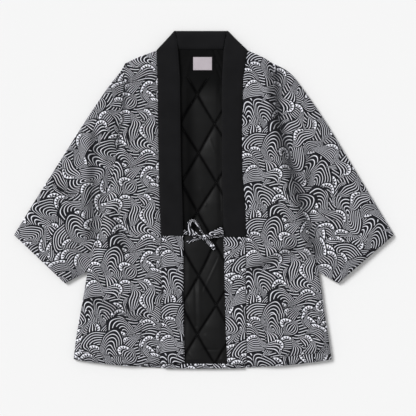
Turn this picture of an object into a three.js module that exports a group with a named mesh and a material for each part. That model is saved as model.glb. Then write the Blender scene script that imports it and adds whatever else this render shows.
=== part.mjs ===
// A hanten jacket laid flat, front up: padded print panels, wide tapered sleeves, a quilted lining that
// shows in the open front, a black over-collar on a print collar, two patch pockets and a tied bow.
// Millimetres. +X is to the viewer's right, +Y towards the collar, +Z up from the surface it lies on.
// Left and right in the names are the viewer's.

import * as THREE from 'three';

// Driving dimensions
const GAP = 0.3; // between two pieces at a seam, or one lying on another
const SPREAD = 932; // cuff corner to cuff corner
const LENGTH = 829; // top of the collar to the middle of the back hem
const BACK_THICK = 6; // print and wadding of the back
const FRONT_THICK = 9.2; // padded front, with its own lining
const LINING_THICK = 2.2; // back lining where it lies flat
const QUILT_RISE = 3.4; // a diamond's crown above its stitch lines
const QUILT_HALF_WIDTH = 43; // half a quilted diamond, across
const QUILT_HALF_LENGTH = 72; // half a quilted diamond, along the back
const QUILT_CROSSING = { x: -17, y: 260 }; // one place where the stitch lines cross
const SLEEVE_THICK = 14.5; // both layers of a sleeve together
const SLEEVE_MIDDLE = 0.43; // height of the slit between the layers, as a share of both
const SLEEVE_WALL_INSET = 5; // wall at the sleeve's two long edges
const SLEEVE_UNDERSIDE = { rise: 0.5, radius: 10 }; // how the underside curls up at both edges
const CUFF_GAP = 4; // between a sleeve's layers at the cuff
const ARMHOLE_GAP = 1; // and at the armhole
const CUFF_FLARE = 0.7; // share of the sleeve's length from which the slit widens
const COLLAR_THICK = 5;
const NECK_BEND = 0.75; // share of its height that the collar loses above the neckline
const QUILT_UNDER_COLLAR = 1.7; // how far the quilting still rises where the collar lies on it
const OVER_COLLAR_EXTRA = 1.1; // the black over-collar is one more fold of cloth
const HEM_TURN = 12.5; // how far the back's print turns to the inside at the hem
const HEM_ROLL = { from: -100, to: 96, depths: [0.6, 3, 8], heights: [1, 3.2, 3.4, 2.2] };
const POCKET_THICK = 2;
const LABEL = { x: -3.5, y: 337, width: 46, height: 32, thick: 1, edge: 0.7 };
const TIE_THICK = 3; // a folded and sewn strip; the flat loop is two of them
const STRIP_STEPS = 14;
const STRIP_SECTION = [
  [1, 0.3], [0.8, 1], [-0.8, 1], [-1, 0.3],
  [-1, -0.3], [-0.8, -1], [0.8, -1], [1, -0.3],
];
const KNOT = { x: 0, y: -89, z: 18, rx: 6.5, ry: 7.5, rz: 5 };

const TOP = 418; // the tables' heights count from the middle of the sleeves
const HEM = TOP - LENGTH;
const CENTRING = -(TOP + HEM) / 2; // moves the finished jacket to the middle of the floor
const HEM_CURVE = { rise: 23, halfWidth: 319, power: 2.4 };
const FRONT_BASE = BACK_THICK + GAP;
const LINING_TOP = FRONT_BASE + LINING_THICK;
const COLLAR_BASE = LINING_TOP + QUILT_UNDER_COLLAR + GAP;
const NECKLINE = 371;

// Armhole seam, from the shoulder fold down to the underarm: x at each height
const ARMHOLE = [
  { y: 338, left: -193, right: 169 },
  { y: 265, left: -199, right: 173 },
  { y: 215, left: -206, right: 181 },
  { y: 120, left: -215, right: 199 },
  { y: 60, left: -225, right: 215 },
  { y: -20, left: -243, right: 241 },
  { y: -100, left: -263, right: 263 },
  { y: -173, left: -286, right: 281 },
];

// Side seam, from the underarm down to the hem corner
const SIDE_SEAM = [
  { y: -173, left: -286, right: 281 },
  { y: -223, left: -294, right: 289 },
  { y: -262, left: -301, right: 294 },
  { y: -331, left: -313, right: 305 },
  { y: -388, left: -320, right: 313 },
];

// Outer fold of a sleeve, from the shoulder to the cuff's upper corner
const SLEEVE_FOLD = [
  { y: 338, left: -193, right: 169 },
  { y: 316, left: -206, right: 209 },
  { y: 278, left: -236, right: 241 },
  { y: 198, left: -290, right: 296 },
  { y: 100, left: -352, right: 356 },
  { y: 0, left: -415, right: 416 },
  { y: -83, left: -SPREAD / 2, right: SPREAD / 2 },
];
const CUFF_CORNER = { y: -202, left: -341, right: 329 };

// Shoulder fold, from the armhole up to the neck point
const SHOULDER = [
  { y: 338, left: -193, right: 169 },
  { y: 354, left: -158, right: 142 },
  { y: 370, left: -116, right: 108 },
];

// Collar edges, from its top fold down to the hem: outer and inner edge on each side
const COLLAR = [
  { y: TOP, leftOuter: -73, leftInner: -68, rightInner: 55, rightOuter: 59 },
  { y: 394, leftOuter: -94, leftInner: -66, rightInner: 52, rightOuter: 82 },
  { y: 370, leftOuter: -116, leftInner: -63, rightInner: 48, rightOuter: 106 },
  { y: 300, leftOuter: -113, leftInner: -58, rightInner: 44, rightOuter: 96 },
  { y: 180, leftOuter: -112, leftInner: -57, rightInner: 44, rightOuter: 93 },
  { y: 70, leftOuter: -110, leftInner: -55, rightInner: 44, rightOuter: 94 },
  { y: -10, leftOuter: -108, leftInner: -52, rightInner: 46, rightOuter: 101 },
  { y: -87, leftOuter: -105, leftInner: -50, rightInner: 48, rightOuter: 103 },
  { y: -220, leftOuter: -104, leftInner: -50, rightInner: 51, rightOuter: 103 },
  { y: -330, leftOuter: -106, leftInner: -49, rightInner: 54, rightOuter: 104 },
  { y: -408, leftOuter: -108, leftInner: -47, rightInner: 58, rightOuter: 106 },
];
const OVER_COLLAR_END = { left: -85, right: -88 };
const COLLAR_HEM = { left: -397, right: -400 };
const FRONT_HANGS_LOWER = 4; // than the collar at its hem

// Large soft folds of the top layer: a line, its half width and how far it rises (a trough is negative)
const FOLDS = [
  { x1: -226, y1: 225, x2: -217, y2: 122, half: 10, rise: -3 },
  { x1: -279, y1: 167, x2: -272, y2: 51, half: 20, rise: -3.5 },
  { x1: -272, y1: 51, x2: -276, y2: -90, half: 20, rise: -3.5 },
  { x1: 167, y1: 316, x2: 186, y2: 191, half: 14, rise: -4 },
  { x1: 186, y1: 191, x2: 211, y2: 83, half: 14, rise: -4 },
  { x1: 247, y1: 100, x2: 236, y2: 0, half: 16, rise: -3 },
  { x1: 236, y1: 0, x2: 272, y2: -140, half: 16, rise: -3 },
  { x1: 284, y1: 93, x2: 330, y2: 93, half: 10, rise: -1.5 },
  { x1: 120, y1: -176, x2: 218, y2: -127, half: 30, rise: -2.5 },
  { x1: -212, y1: -30, x2: -192, y2: -125, half: 24, rise: -2.5 },
  { x1: -255, y1: -260, x2: -181, y2: -299, half: 18, rise: -1.5 },
];

// How high a padded piece is at its edge, as a share of its full height, and how far in it is full
const FRONT_ROLLS = {
  side: { low: 0.4, radius: 16 },
  collar: { low: 0.72, radius: 14 },
  hem: { low: 0.35, radius: 14 },
  shoulder: { low: 0.3, radius: 26 },
};
const SLEEVE_ROLLS = {
  edge: { low: 0.42, radius: 15 },
  armhole: { low: 0.5, radius: 34 },
  cuff: { low: 0.6, radius: 12 },
};
const COLLAR_ROLLS = {
  side: { low: 0.55, radius: 9 },
  end: { low: 0.6, radius: 7 },
};
const NECK_ROLLS = {
  top: { low: 0.45, radius: 12 },
  seam: { low: 0.75, radius: 8 },
};
const NECK_HEIGHT = 12;
const THINNEST = { front: 1.5, sleeve: 2.6 };

// Stations along the shared edges, as fractions; close together where the cloth rounds over
const ARM_STATIONS = [
  0, 0.008, 0.025, 0.06, 0.13, 0.22, 0.32, 0.42,
  0.52, 0.62, 0.72, 0.82, 0.9, 0.96, 0.99, 1,
];
const SIDE_STATIONS = [0, 0.02, 0.06, 0.1, 0.3, 0.57, 0.78];
const FRONT_COLUMNS = [0, 0.02, 0.06, 0.13, 0.22, 0.32, 0.43, 0.54, 0.65, 0.77, 0.87, 0.94, 0.98, 1];
const SLEEVE_RINGS = [0, 0.03, 0.09, 0.18, 0.29, 0.4, 0.51, 0.62, 0.73, 0.84, 0.93, 0.98, 1];
const COLLAR_COLUMNS = [0, 0.05, 0.2, 0.5, 0.8, 0.95, 1];
const NECK_COLUMNS = [0, 0.03, 0.1, 0.3, 0.5, 0.7, 0.9, 0.97, 1];
const POCKET_ROWS = [3, 5]; // first and last row of the front's own grid that a pocket covers
const POCKET_COLUMNS = [2, 9];

const COLOURS = {
  print: 0x6c6c6f,
  black: 0x1b1b1d,
  lining: 0x19191b,
  label: 0xe8e2e4,
};

// Curves and patches

const smooth = (t) => {
  const c = Math.min(Math.max(t, 0), 1);
  return c * c * (3 - 2 * c);
};

const roundOver = (distance, radius) => {
  const left = 1 - Math.min(distance / radius, 1);
  return Math.sqrt(1 - left * left);
};

const rolled = (distance, { low, radius }) => low + (1 - low) * roundOver(distance, radius);

const point = (x, y) => new THREE.Vector2(x, y);

const edgePoints = (table, side) => table.map((row) => point(row[side], row.y));

const along = (points, stations) => {
  const curve = new THREE.SplineCurve(points);
  return stations.map((t) => curve.getPointAt(t));
};

// x of a collar edge at height y, on straight lines between the rows
const collarX = (edge, y) => {
  const next = Math.max(COLLAR.findIndex((row) => row.y <= y), 1);
  const [high, low] = [COLLAR[next - 1], COLLAR[next]];
  return THREE.MathUtils.lerp(high[edge], low[edge], (high.y - y) / (high.y - low.y));
};

const hemY = (x) => HEM + HEM_CURVE.rise * Math.abs(x / HEM_CURVE.halfWidth) ** HEM_CURVE.power;

const foldRise = (x, y) => {
  let rise = 0;
  for (const fold of FOLDS) {
    const run = point(fold.x2 - fold.x1, fold.y2 - fold.y1);
    const from = point(x - fold.x1, y - fold.y1);
    const t = THREE.MathUtils.clamp(from.dot(run) / run.lengthSq(), 0, 1);
    const distance = from.sub(run.multiplyScalar(t)).length();
    rise += fold.rise * Math.exp(-((distance / fold.half) ** 2));
  }
  return rise;
};

// A Coons patch over four edges given as points: grid[i][j] runs from bottom to top and from left to right
const patch = (bottom, top, left, right, us, vs) => {
  const rows = left.length - 1;
  const columns = bottom.length - 1;
  return left.map((start, i) =>
    bottom.map((low, j) => {
      const u = us[j];
      const v = vs[i];
      const sum = point(0, 0);
      sum.addScaledVector(low, 1 - v).addScaledVector(top[j], v);
      sum.addScaledVector(start, 1 - u).addScaledVector(right[i], u);
      sum.addScaledVector(bottom[0], -(1 - u) * (1 - v)).addScaledVector(bottom[columns], -u * (1 - v));
      sum.addScaledVector(left[rows], -(1 - u) * v).addScaledVector(right[rows], -u * v);
      return sum;
    }),
  );
};

// Closed bodies

class Body {
  constructor() {
    this.positions = [];
    this.faces = [];
  }

  vertex(x, y, z) {
    this.positions.push(x, y, z);
    return this.positions.length / 3 - 1;
  }

  quad(a, b, c, d) {
    this.faces.push(a, b, c, a, c, d);
  }

  volume() {
    const [a, b, c] = [new THREE.Vector3(), new THREE.Vector3(), new THREE.Vector3()];
    let sum = 0;
    for (let k = 0; k < this.faces.length; k += 3) {
      a.fromArray(this.positions, this.faces[k] * 3);
      b.fromArray(this.positions, this.faces[k + 1] * 3);
      c.fromArray(this.positions, this.faces[k + 2] * 3);
      sum += a.dot(b.cross(c)) / 6;
    }
    return sum;
  }

  geometry() {
    if (this.volume() < 0) {
      this.faces.reverse();
    }
    const geometry = new THREE.BufferGeometry();
    geometry.setAttribute('position', new THREE.Float32BufferAttribute(this.positions, 3));
    geometry.setIndex(this.faces);
    geometry.computeVertexNormals();
    return geometry;
  }
}

// The points round a grid's edge, anticlockwise seen from above, as [row, column]
const rim = (rows, columns) => {
  const loop = [];
  for (let j = 0; j < columns; j += 1) {
    loop.push([0, j]);
  }
  for (let i = 0; i < rows; i += 1) {
    loop.push([i, columns]);
  }
  for (let j = columns; j > 0; j -= 1) {
    loop.push([rows, j]);
  }
  for (let i = rows; i > 0; i -= 1) {
    loop.push([i, 0]);
  }
  return loop;
};

// A face that uses only the rim: one band from side to side for each row, and fans at both ends
const plainFace = (body, at, rows, columns, flip) => {
  const add = (a, b, c) => body.faces.push(...(flip ? [a, c, b] : [a, b, c]));
  for (let j = 0; j < columns; j += 1) {
    add(at(1, 0), at(0, j), at(0, j + 1));
    add(at(rows - 1, columns), at(rows, j + 1), at(rows, j));
  }
  add(at(1, 0), at(0, columns), at(1, columns));
  add(at(rows - 1, columns), at(rows, 0), at(rows - 1, 0));
  for (let i = 1; i < rows - 1; i += 1) {
    add(at(i, 0), at(i, columns), at(i + 1, columns));
    add(at(i, 0), at(i + 1, columns), at(i + 1, 0));
  }
};

// A padded panel: its upper face follows the grid, its lower face is plain.
// inset draws the lower rim in, so that the edge curls up from the surface.
const slab = (grid, lower, upper, { inset = 0, flatTop = false, rising = () => true } = {}) => {
  const rows = grid.length - 1;
  const columns = grid[0].length - 1;
  const body = new Body();
  const loop = rim(rows, columns);
  const above = new Map();
  const below = new Map();
  const key = (i, j) => i * 1000 + j;
  const onRim = (i, j) => i === 0 || j === 0 || i === rows || j === columns;
  grid.forEach((row, i) =>
    row.forEach((p, j) => {
      if (!flatTop || onRim(i, j)) {
        above.set(key(i, j), body.vertex(p.x, p.y, upper(i, j, p)));
      }
    }),
  );
  loop.forEach(([i, j], k) => {
    const p = grid[i][j];
    const [ia, ja] = loop[(k + loop.length - 1) % loop.length];
    const [ib, jb] = loop[(k + 1) % loop.length];
    const tangent = grid[ib][jb].clone().sub(grid[ia][ja]).normalize();
    below.set(key(i, j), body.vertex(p.x - tangent.y * inset, p.y + tangent.x * inset, lower(i, j, p)));
  });
  const top = (i, j) => above.get(key(i, j));
  const bottom = (i, j) => below.get(key(i, j));
  if (flatTop) {
    plainFace(body, top, rows, columns, false);
  } else {
    for (let i = 0; i < rows; i += 1) {
      for (let j = 0; j < columns; j += 1) {
        if (rising(i, j)) {
          body.quad(top(i, j), top(i, j + 1), top(i + 1, j + 1), top(i + 1, j));
        } else {
          body.quad(top(i, j + 1), top(i + 1, j + 1), top(i + 1, j), top(i, j));
        }
      }
    }
  }
  plainFace(body, bottom, rows, columns, true);
  loop.forEach(([i, j], k) => {
    const [ib, jb] = loop[(k + 1) % loop.length];
    body.quad(bottom(i, j), bottom(ib, jb), top(ib, jb), top(i, j));
  });
  return body.geometry();
};

// A tube through rings of outer and inner loops with the same number of points, open at both ends
const openTube = (rings) => {
  const body = new Body();
  const count = rings[0].outer.length;
  const indices = rings.map(({ outer, inner }) => ({
    outer: outer.map((p) => body.vertex(...p)),
    inner: inner.map((p) => body.vertex(...p)),
  }));
  for (let k = 0; k < rings.length - 1; k += 1) {
    for (let n = 0; n < count; n += 1) {
      const m = (n + 1) % count;
      const [a, b] = [indices[k], indices[k + 1]];
      body.quad(a.outer[n], a.outer[m], b.outer[m], b.outer[n]);
      body.quad(a.inner[m], a.inner[n], b.inner[n], b.inner[m]);
    }
  }
  for (const [ring, flip] of [[indices[0], false], [indices[indices.length - 1], true]]) {
    for (let n = 0; n < count; n += 1) {
      const m = (n + 1) % count;
      const corners = [ring.outer[m], ring.outer[n], ring.inner[n], ring.inner[m]];
      body.quad(...(flip ? corners.reverse() : corners));
    }
  }
  return body.geometry();
};

// A solid strip of cloth along a path. lean turns its flat side up, in degrees.
const strip = (path, steps) => {
  const centres = new THREE.CatmullRomCurve3(path.map((p) => new THREE.Vector3(p.x, p.y, p.z)));
  const body = new Body();
  const sections = [];
  for (let k = 0; k <= steps; k += 1) {
    const t = k / steps;
    const slot = Math.min(Math.floor(t * (path.length - 1)), path.length - 2);
    const part = t * (path.length - 1) - slot;
    const [from, to] = [path[slot], path[slot + 1]];
    const lean = THREE.MathUtils.degToRad(THREE.MathUtils.lerp(from.lean, to.lean, smooth(part)));
    const width = THREE.MathUtils.lerp(from.width, to.width, smooth(part));
    const thick = from.thick ?? TIE_THICK;
    const centre = centres.getPoint(t);
    const tangent = centres.getTangent(t);
    const across = new THREE.Vector3(-tangent.y, tangent.x, 0).normalize().applyAxisAngle(tangent, lean);
    const normal = tangent.clone().cross(across);
    sections.push(
      STRIP_SECTION.map(([w, h]) => {
        const p = centre.clone().addScaledVector(across, (w * width) / 2);
        p.addScaledVector(normal, (h * thick) / 2);
        return body.vertex(p.x, p.y, p.z);
      }),
    );
  }
  for (let k = 0; k < steps; k += 1) {
    STRIP_SECTION.forEach((_, n) => {
      const m = (n + 1) % STRIP_SECTION.length;
      body.quad(sections[k][n], sections[k][m], sections[k + 1][m], sections[k + 1][n]);
    });
  }
  for (const [section, flip] of [[sections[0], true], [sections[steps], false]]) {
    for (let n = 1; n < STRIP_SECTION.length - 1; n += 1) {
      const face = [section[0], section[n], section[n + 1]];
      body.faces.push(...(flip ? face.reverse() : face));
    }
  }
  return body.geometry();
};

// Edges that two or more pieces share

const fractions = (points) => {
  const span = points[points.length - 1].y - points[0].y;
  return points.map((p) => (p.y - points[0].y) / span);
};

const shared = {};
for (const side of ['left', 'right']) {
  const armhole = along(edgePoints(ARMHOLE, side), ARM_STATIONS);
  const seam = along(edgePoints(SIDE_SEAM, side).reverse(), [...SIDE_STATIONS, 1]);
  const sign = side === 'left' ? -1 : 1;
  const edge = [...seam.slice(0, -1), ...armhole.slice().reverse()];
  shared[side] = {
    armhole,
    outline: edge.map((p) => point(p.x - (sign * GAP) / 2, p.y)),
    shoulder: along(edgePoints(SHOULDER, side), [0, 0.5, 1]),
    sign,
  };
}

// Back: one flat plate with its edges curled up

const backBody = () => {
  const { left, right } = shared;
  const hemSteps = 16;
  const curl = 3;
  const corner = { left: left.outline[0].x, right: right.outline[0].x };
  const hem = Array.from({ length: hemSteps + 1 }, (_, k) => {
    const x = THREE.MathUtils.lerp(corner.left, corner.right, k / hemSteps);
    return point(x, hemY(x));
  });
  const neck = [
    ...left.shoulder,
    point(collarX('leftInner', NECKLINE), NECKLINE),
    point(collarX('rightInner', NECKLINE), NECKLINE),
    ...right.shoulder.slice().reverse(),
  ];
  const spacing = neck.length - 1;
  const low = Array.from({ length: spacing + 1 }, (_, k) => hem[Math.round((k * hemSteps) / spacing)]);
  low[0] = hem[0];
  low[spacing] = hem[hemSteps];
  const rows = left.outline.map((start, i) => {
    if (i === 0) {
      return low;
    }
    if (i === left.outline.length - 1) {
      return neck;
    }
    return low.map((_, j) => start.clone().lerp(right.outline[i], j / spacing));
  });
  return slab(rows, () => 0, () => BACK_THICK, { inset: curl, flatTop: true });
};

// Fronts

// Heights along the collar seam, which the front and the collar share
const seamHeights = (side) => {
  const { outline, shoulder } = shared[side];
  const low = COLLAR_HEM[side] - FRONT_HANGS_LOWER;
  const high = shoulder.at(-1).y - 1;
  return fractions(outline).map((v) => THREE.MathUtils.lerp(low, high, v));
};

const frontGrid = (side) => {
  const { outline, shoulder, sign } = shared[side];
  const vs = fractions(outline);
  const inner = seamHeights(side).map((y) => point(collarX(`${side}Outer`, y) + sign * GAP, y));
  const start = inner[0].y;
  const hem = FRONT_COLUMNS.map((u) => {
    const x = THREE.MathUtils.lerp(outline[0].x, inner[0].x, u);
    const lift = start - hemY(inner[0].x);
    return point(x, THREE.MathUtils.lerp(hemY(x), hemY(x) + lift, smooth((u - 0.6) / 0.4)));
  });
  const curve = new THREE.SplineCurve([outline.at(-1), shoulder[1], inner.at(-1)]);
  const shoulderEdge = FRONT_COLUMNS.map((u) => curve.getPointAt(u));
  return patch(hem, shoulderEdge, outline, inner, FRONT_COLUMNS, vs);
};

const frontTop = (grid) => {
  const rows = grid.length - 1;
  const columns = grid[0].length - 1;
  return (i, j, p) => {
    const side = rolled(p.distanceTo(grid[i][0]), FRONT_ROLLS.side);
    const collar = rolled(p.distanceTo(grid[i][columns]), FRONT_ROLLS.collar);
    const hem = rolled(p.distanceTo(grid[0][j]), FRONT_ROLLS.hem);
    const shoulder = rolled(p.distanceTo(grid[rows][j]), FRONT_ROLLS.shoulder);
    const form = side * hem * shoulder;
    const height = FRONT_THICK * form * collar + foldRise(p.x, p.y) * form;
    return FRONT_BASE + Math.max(height, THINNEST.front);
  };
};

const frontPanel = (grid) => slab(grid, () => FRONT_BASE, frontTop(grid));

// A patch pocket is the front's own points, moved out
const pocket = (grid) => {
  const top = frontTop(grid);
  const [firstRow, lastRow] = POCKET_ROWS;
  const [firstColumn, lastColumn] = POCKET_COLUMNS;
  const body = new Body();
  const rows = grid.slice(firstRow, lastRow + 1).map((row) => row.slice(firstColumn, lastColumn + 1));
  const height = (i, j, p) => top(i + firstRow, j + firstColumn, p);
  const layer = (rise) =>
    rows.map((row, i) => row.map((p, j) => body.vertex(p.x, p.y, height(i, j, p) + rise)));
  const under = layer(GAP);
  const over = layer(GAP + POCKET_THICK);
  for (let i = 0; i < rows.length - 1; i += 1) {
    for (let j = 0; j < rows[0].length - 1; j += 1) {
      body.quad(over[i][j], over[i][j + 1], over[i + 1][j + 1], over[i + 1][j]);
      body.faces.push(under[i][j], under[i + 1][j + 1], under[i][j + 1]);
      body.faces.push(under[i][j], under[i + 1][j], under[i + 1][j + 1]);
    }
  }
  const loop = rim(rows.length - 1, rows[0].length - 1);
  loop.forEach(([i, j], k) => {
    const [ib, jb] = loop[(k + 1) % loop.length];
    body.quad(under[i][j], under[ib][jb], over[ib][jb], over[i][j]);
  });
  return body.geometry();
};

// Sleeves: a flattened tube of padded cloth, open at the armhole and at the cuff

const onLine = (line, stations, t) => {
  const next = Math.max(stations.findIndex((s) => s >= t), 1);
  const part = (t - stations[next - 1]) / (stations[next] - stations[next - 1]);
  return line[next - 1].clone().lerp(line[next], part);
};

const sleeve = (side) => {
  const { armhole, sign } = shared[side];
  const seam = armhole.map((p) => point(p.x + (sign * GAP) / 2, p.y));
  const foldLine = edgePoints(SLEEVE_FOLD, side);
  foldLine[0] = seam[0];
  const lowerCorner = point(CUFF_CORNER[side], CUFF_CORNER.y);
  const cuff = ARM_STATIONS.map((t) => foldLine.at(-1).clone().lerp(lowerCorner, t));
  const upper = along(foldLine, SLEEVE_RINGS);
  const lower = SLEEVE_RINGS.map((t) => seam.at(-1).clone().lerp(lowerCorner, t));
  const grid = patch(upper, lower, seam, cuff, SLEEVE_RINGS, ARM_STATIONS);
  const middle = SLEEVE_THICK * SLEEVE_MIDDLE;
  const rings = SLEEVE_RINGS.map((u, j) => {
    const line = grid.map((row) => row[j]);
    const toEdge = (p) => Math.min(p.distanceTo(line[0]), p.distanceTo(line.at(-1)));
    const above = line.map((p, i) => {
      const edge = rolled(toEdge(p), SLEEVE_ROLLS.edge);
      const valley = rolled(p.distanceTo(grid[i][0]), SLEEVE_ROLLS.armhole);
      const end = rolled(p.distanceTo(grid[i].at(-1)), SLEEVE_ROLLS.cuff);
      const height = (SLEEVE_THICK - middle + foldRise(p.x, p.y)) * edge * valley * end;
      return [p.x, p.y, middle + Math.max(height, THINNEST.sleeve)];
    });
    const curl = (p) => SLEEVE_UNDERSIDE.rise * (1 - roundOver(toEdge(p), SLEEVE_UNDERSIDE.radius));
    const below = line.map((p) => [p.x, p.y, middle * curl(p)]);
    const opening = THREE.MathUtils.lerp(ARMHOLE_GAP, CUFF_GAP, smooth((u - CUFF_FLARE) / (1 - CUFF_FLARE)));
    const inset = SLEEVE_WALL_INSET / line[0].distanceTo(line.at(-1));
    const hollow = ARM_STATIONS.map((t) => {
      const fromEnd = Math.min(t, 1 - t);
      const shift = Math.sign(0.5 - t) * Math.max(inset - fromEnd / 2, 0);
      const p = onLine(line, ARM_STATIONS, t + shift);
      const half = (opening / 2) * Math.sqrt(Math.sin(Math.PI * THREE.MathUtils.lerp(0.06, 0.94, t)));
      return { p, half };
    });
    const innerAbove = hollow.map(({ p, half }) => [p.x, p.y, middle + half]);
    const innerBelow = hollow.map(({ p, half }) => [p.x, p.y, middle - half]);
    return { outer: [...above, ...below.reverse()], inner: [...innerAbove, ...innerBelow.reverse()] };
  });
  return openTube(rings);
};

// Collar: bands that lie over the fronts' edges and the lining

const bandTop = (grid, thick) => {
  const columns = grid[0].length - 1;
  return (i, j, p) => {
    const across = Math.min(p.distanceTo(grid[i][0]), p.distanceTo(grid[i][columns]));
    const ends = Math.min(p.distanceTo(grid[0][j]), p.distanceTo(grid.at(-1)[j]));
    return bandBase(p) + thick * rolled(across, COLLAR_ROLLS.side) * rolled(ends, COLLAR_ROLLS.end);
  };
};

// Above the neckline the collar bends down to the surface
const bandBase = (p) => {
  const bend = smooth((p.y - NECKLINE - 1) / (TOP - NECKLINE));
  return COLLAR_BASE * (1 - NECK_BEND * bend);
};

const band = (heights, outerEdge, innerEdge, thick) => {
  const columns = COLLAR_COLUMNS;
  const grid = heights.map((y) =>
    columns.map((u) => {
      const [a, b] = [collarX(outerEdge, y), collarX(innerEdge, y)];
      return point(THREE.MathUtils.lerp(Math.min(a, b), Math.max(a, b), u), y);
    }),
  );
  return slab(grid, (i, j, p) => bandBase(p), bandTop(grid, thick));
};

const overCollarSide = (side) => {
  const end = OVER_COLLAR_END[side];
  const between = seamHeights(side).filter((y) => y > end + 14 && y < NECKLINE - 10);
  const heights = [end, end + 3, end + 9, ...between, 366, NECKLINE + 1, 385, 400, 412, TOP];
  return band(heights, `${side}Outer`, `${side}Inner`, COLLAR_THICK + OVER_COLLAR_EXTRA);
};

const lowerCollar = (side) => {
  const end = COLLAR_HEM[side];
  const start = OVER_COLLAR_END[side] - GAP;
  const between = seamHeights(side).filter((y) => y > end + 14 && y < start - 14);
  const heights = [end, end + 3, end + 9, ...between, start - 9, start - 3, start];
  return band(heights, `${side}Outer`, `${side}Inner`, COLLAR_THICK);
};

const overCollarBack = () => {
  const heights = [NECKLINE + GAP, NECKLINE + 3, 382, 396, 408, 415, TOP];
  const grid = heights.map((y) => {
    const [from, to] = [collarX('leftInner', y) + GAP, collarX('rightInner', y) - GAP];
    return NECK_COLUMNS.map((u) => point(THREE.MathUtils.lerp(from, to, u), y));
  });
  const top = (i, j, p) => {
    return NECK_HEIGHT * rolled(TOP - p.y, NECK_ROLLS.top) * rolled(p.y - NECKLINE, NECK_ROLLS.seam);
  };
  return slab(grid, () => 0, top);
};

// Back lining, quilted in long diamonds. Its grid steps with the quilting, so every stitch line is an edge.

const backLining = () => {
  const [stepX, stepY] = [QUILT_HALF_WIDTH / 4, QUILT_HALF_LENGTH / 4];
  const crossing = point(QUILT_CROSSING.x, QUILT_CROSSING.y);
  const [firstColumn, lastColumn] = [-8, 10];
  const firstRow = Math.ceil((HEM + HEM_TURN + 1.5 - crossing.y) / stepY);
  const lastRow = Math.floor((NECKLINE - 1 - crossing.y) / stepY);
  const ms = Array.from({ length: lastColumn - firstColumn + 1 }, (_, k) => firstColumn + k);
  const ns = Array.from({ length: lastRow - firstRow + 1 }, (_, k) => firstRow + k);
  const grid = ns.map((n) => ms.map((m) => point(crossing.x + m * stepX, crossing.y + n * stepY)));
  grid[0].forEach((p) => p.setY(HEM + HEM_TURN));
  grid.at(-1).forEach((p) => p.setY(NECKLINE));
  const crown = (i, j, p) => {
    const a = Math.abs(Math.sin((Math.PI * (ms[j] + ns[i])) / 8));
    const b = Math.abs(Math.sin((Math.PI * (ms[j] - ns[i])) / 8));
    const fromBands = Math.min(p.x - collarX('leftInner', p.y), collarX('rightInner', p.y) - p.x);
    const fromHem = smooth((p.y - HEM - HEM_TURN - 1.5) / 20);
    const fromLabel = smooth((LABEL.y - LABEL.height - p.y) / 60);
    const rise = THREE.MathUtils.lerp(QUILT_UNDER_COLLAR, QUILT_RISE, smooth((fromBands - stepX) / 16));
    return LINING_TOP + rise * Math.sqrt(a * b) * Math.min(fromHem, fromLabel);
  };
  // Each square of the grid is cut along the stitch line that runs through it
  const onLineUp = (i, j) => (ms[j] - ns[i]) % 8 === 0;
  const onLineDown = (i, j) => (ms[j] + ns[i] + 1) % 8 === 0;
  const rising = (i, j) => onLineUp(i, j) || !onLineDown(i, j);
  return slab(grid, () => FRONT_BASE, crown, { rising });
};

// The strip of print that turns to the inside at the back hem
const backHemRoll = () => {
  const steps = 12;
  const [from, to] = [HEM_ROLL.from, HEM_ROLL.to];
  const xs = Array.from({ length: steps + 1 }, (_, k) => THREE.MathUtils.lerp(from, to, k / steps));
  const depths = [...HEM_ROLL.depths, HEM_TURN - GAP];
  const grid = depths.map((depth) =>
    xs.map((x) => point(x, THREE.MathUtils.lerp(hemY(x), HEM + depth, depth / HEM_TURN))),
  );
  return slab(grid, () => FRONT_BASE, (i) => FRONT_BASE + HEM_ROLL.heights[i]);
};

const labelPatch = () => {
  const rows = [-0.5, -0.47, 0.47, 0.5].map((v) =>
    [-0.5, -0.48, 0.48, 0.5].map((u) => point(LABEL.x + u * LABEL.width, LABEL.y + v * LABEL.height)),
  );
  const base = LINING_TOP + GAP;
  const middle = (k) => k === 1 || k === 2;
  const height = (i, j) => (middle(i) && middle(j) ? LABEL.thick : LABEL.edge);
  return slab(rows, () => base, (i, j) => base + height(i, j));
};

// Ties: each comes from the collar's inner edge to the knot; one open loop, one flat loop and two tails

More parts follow.
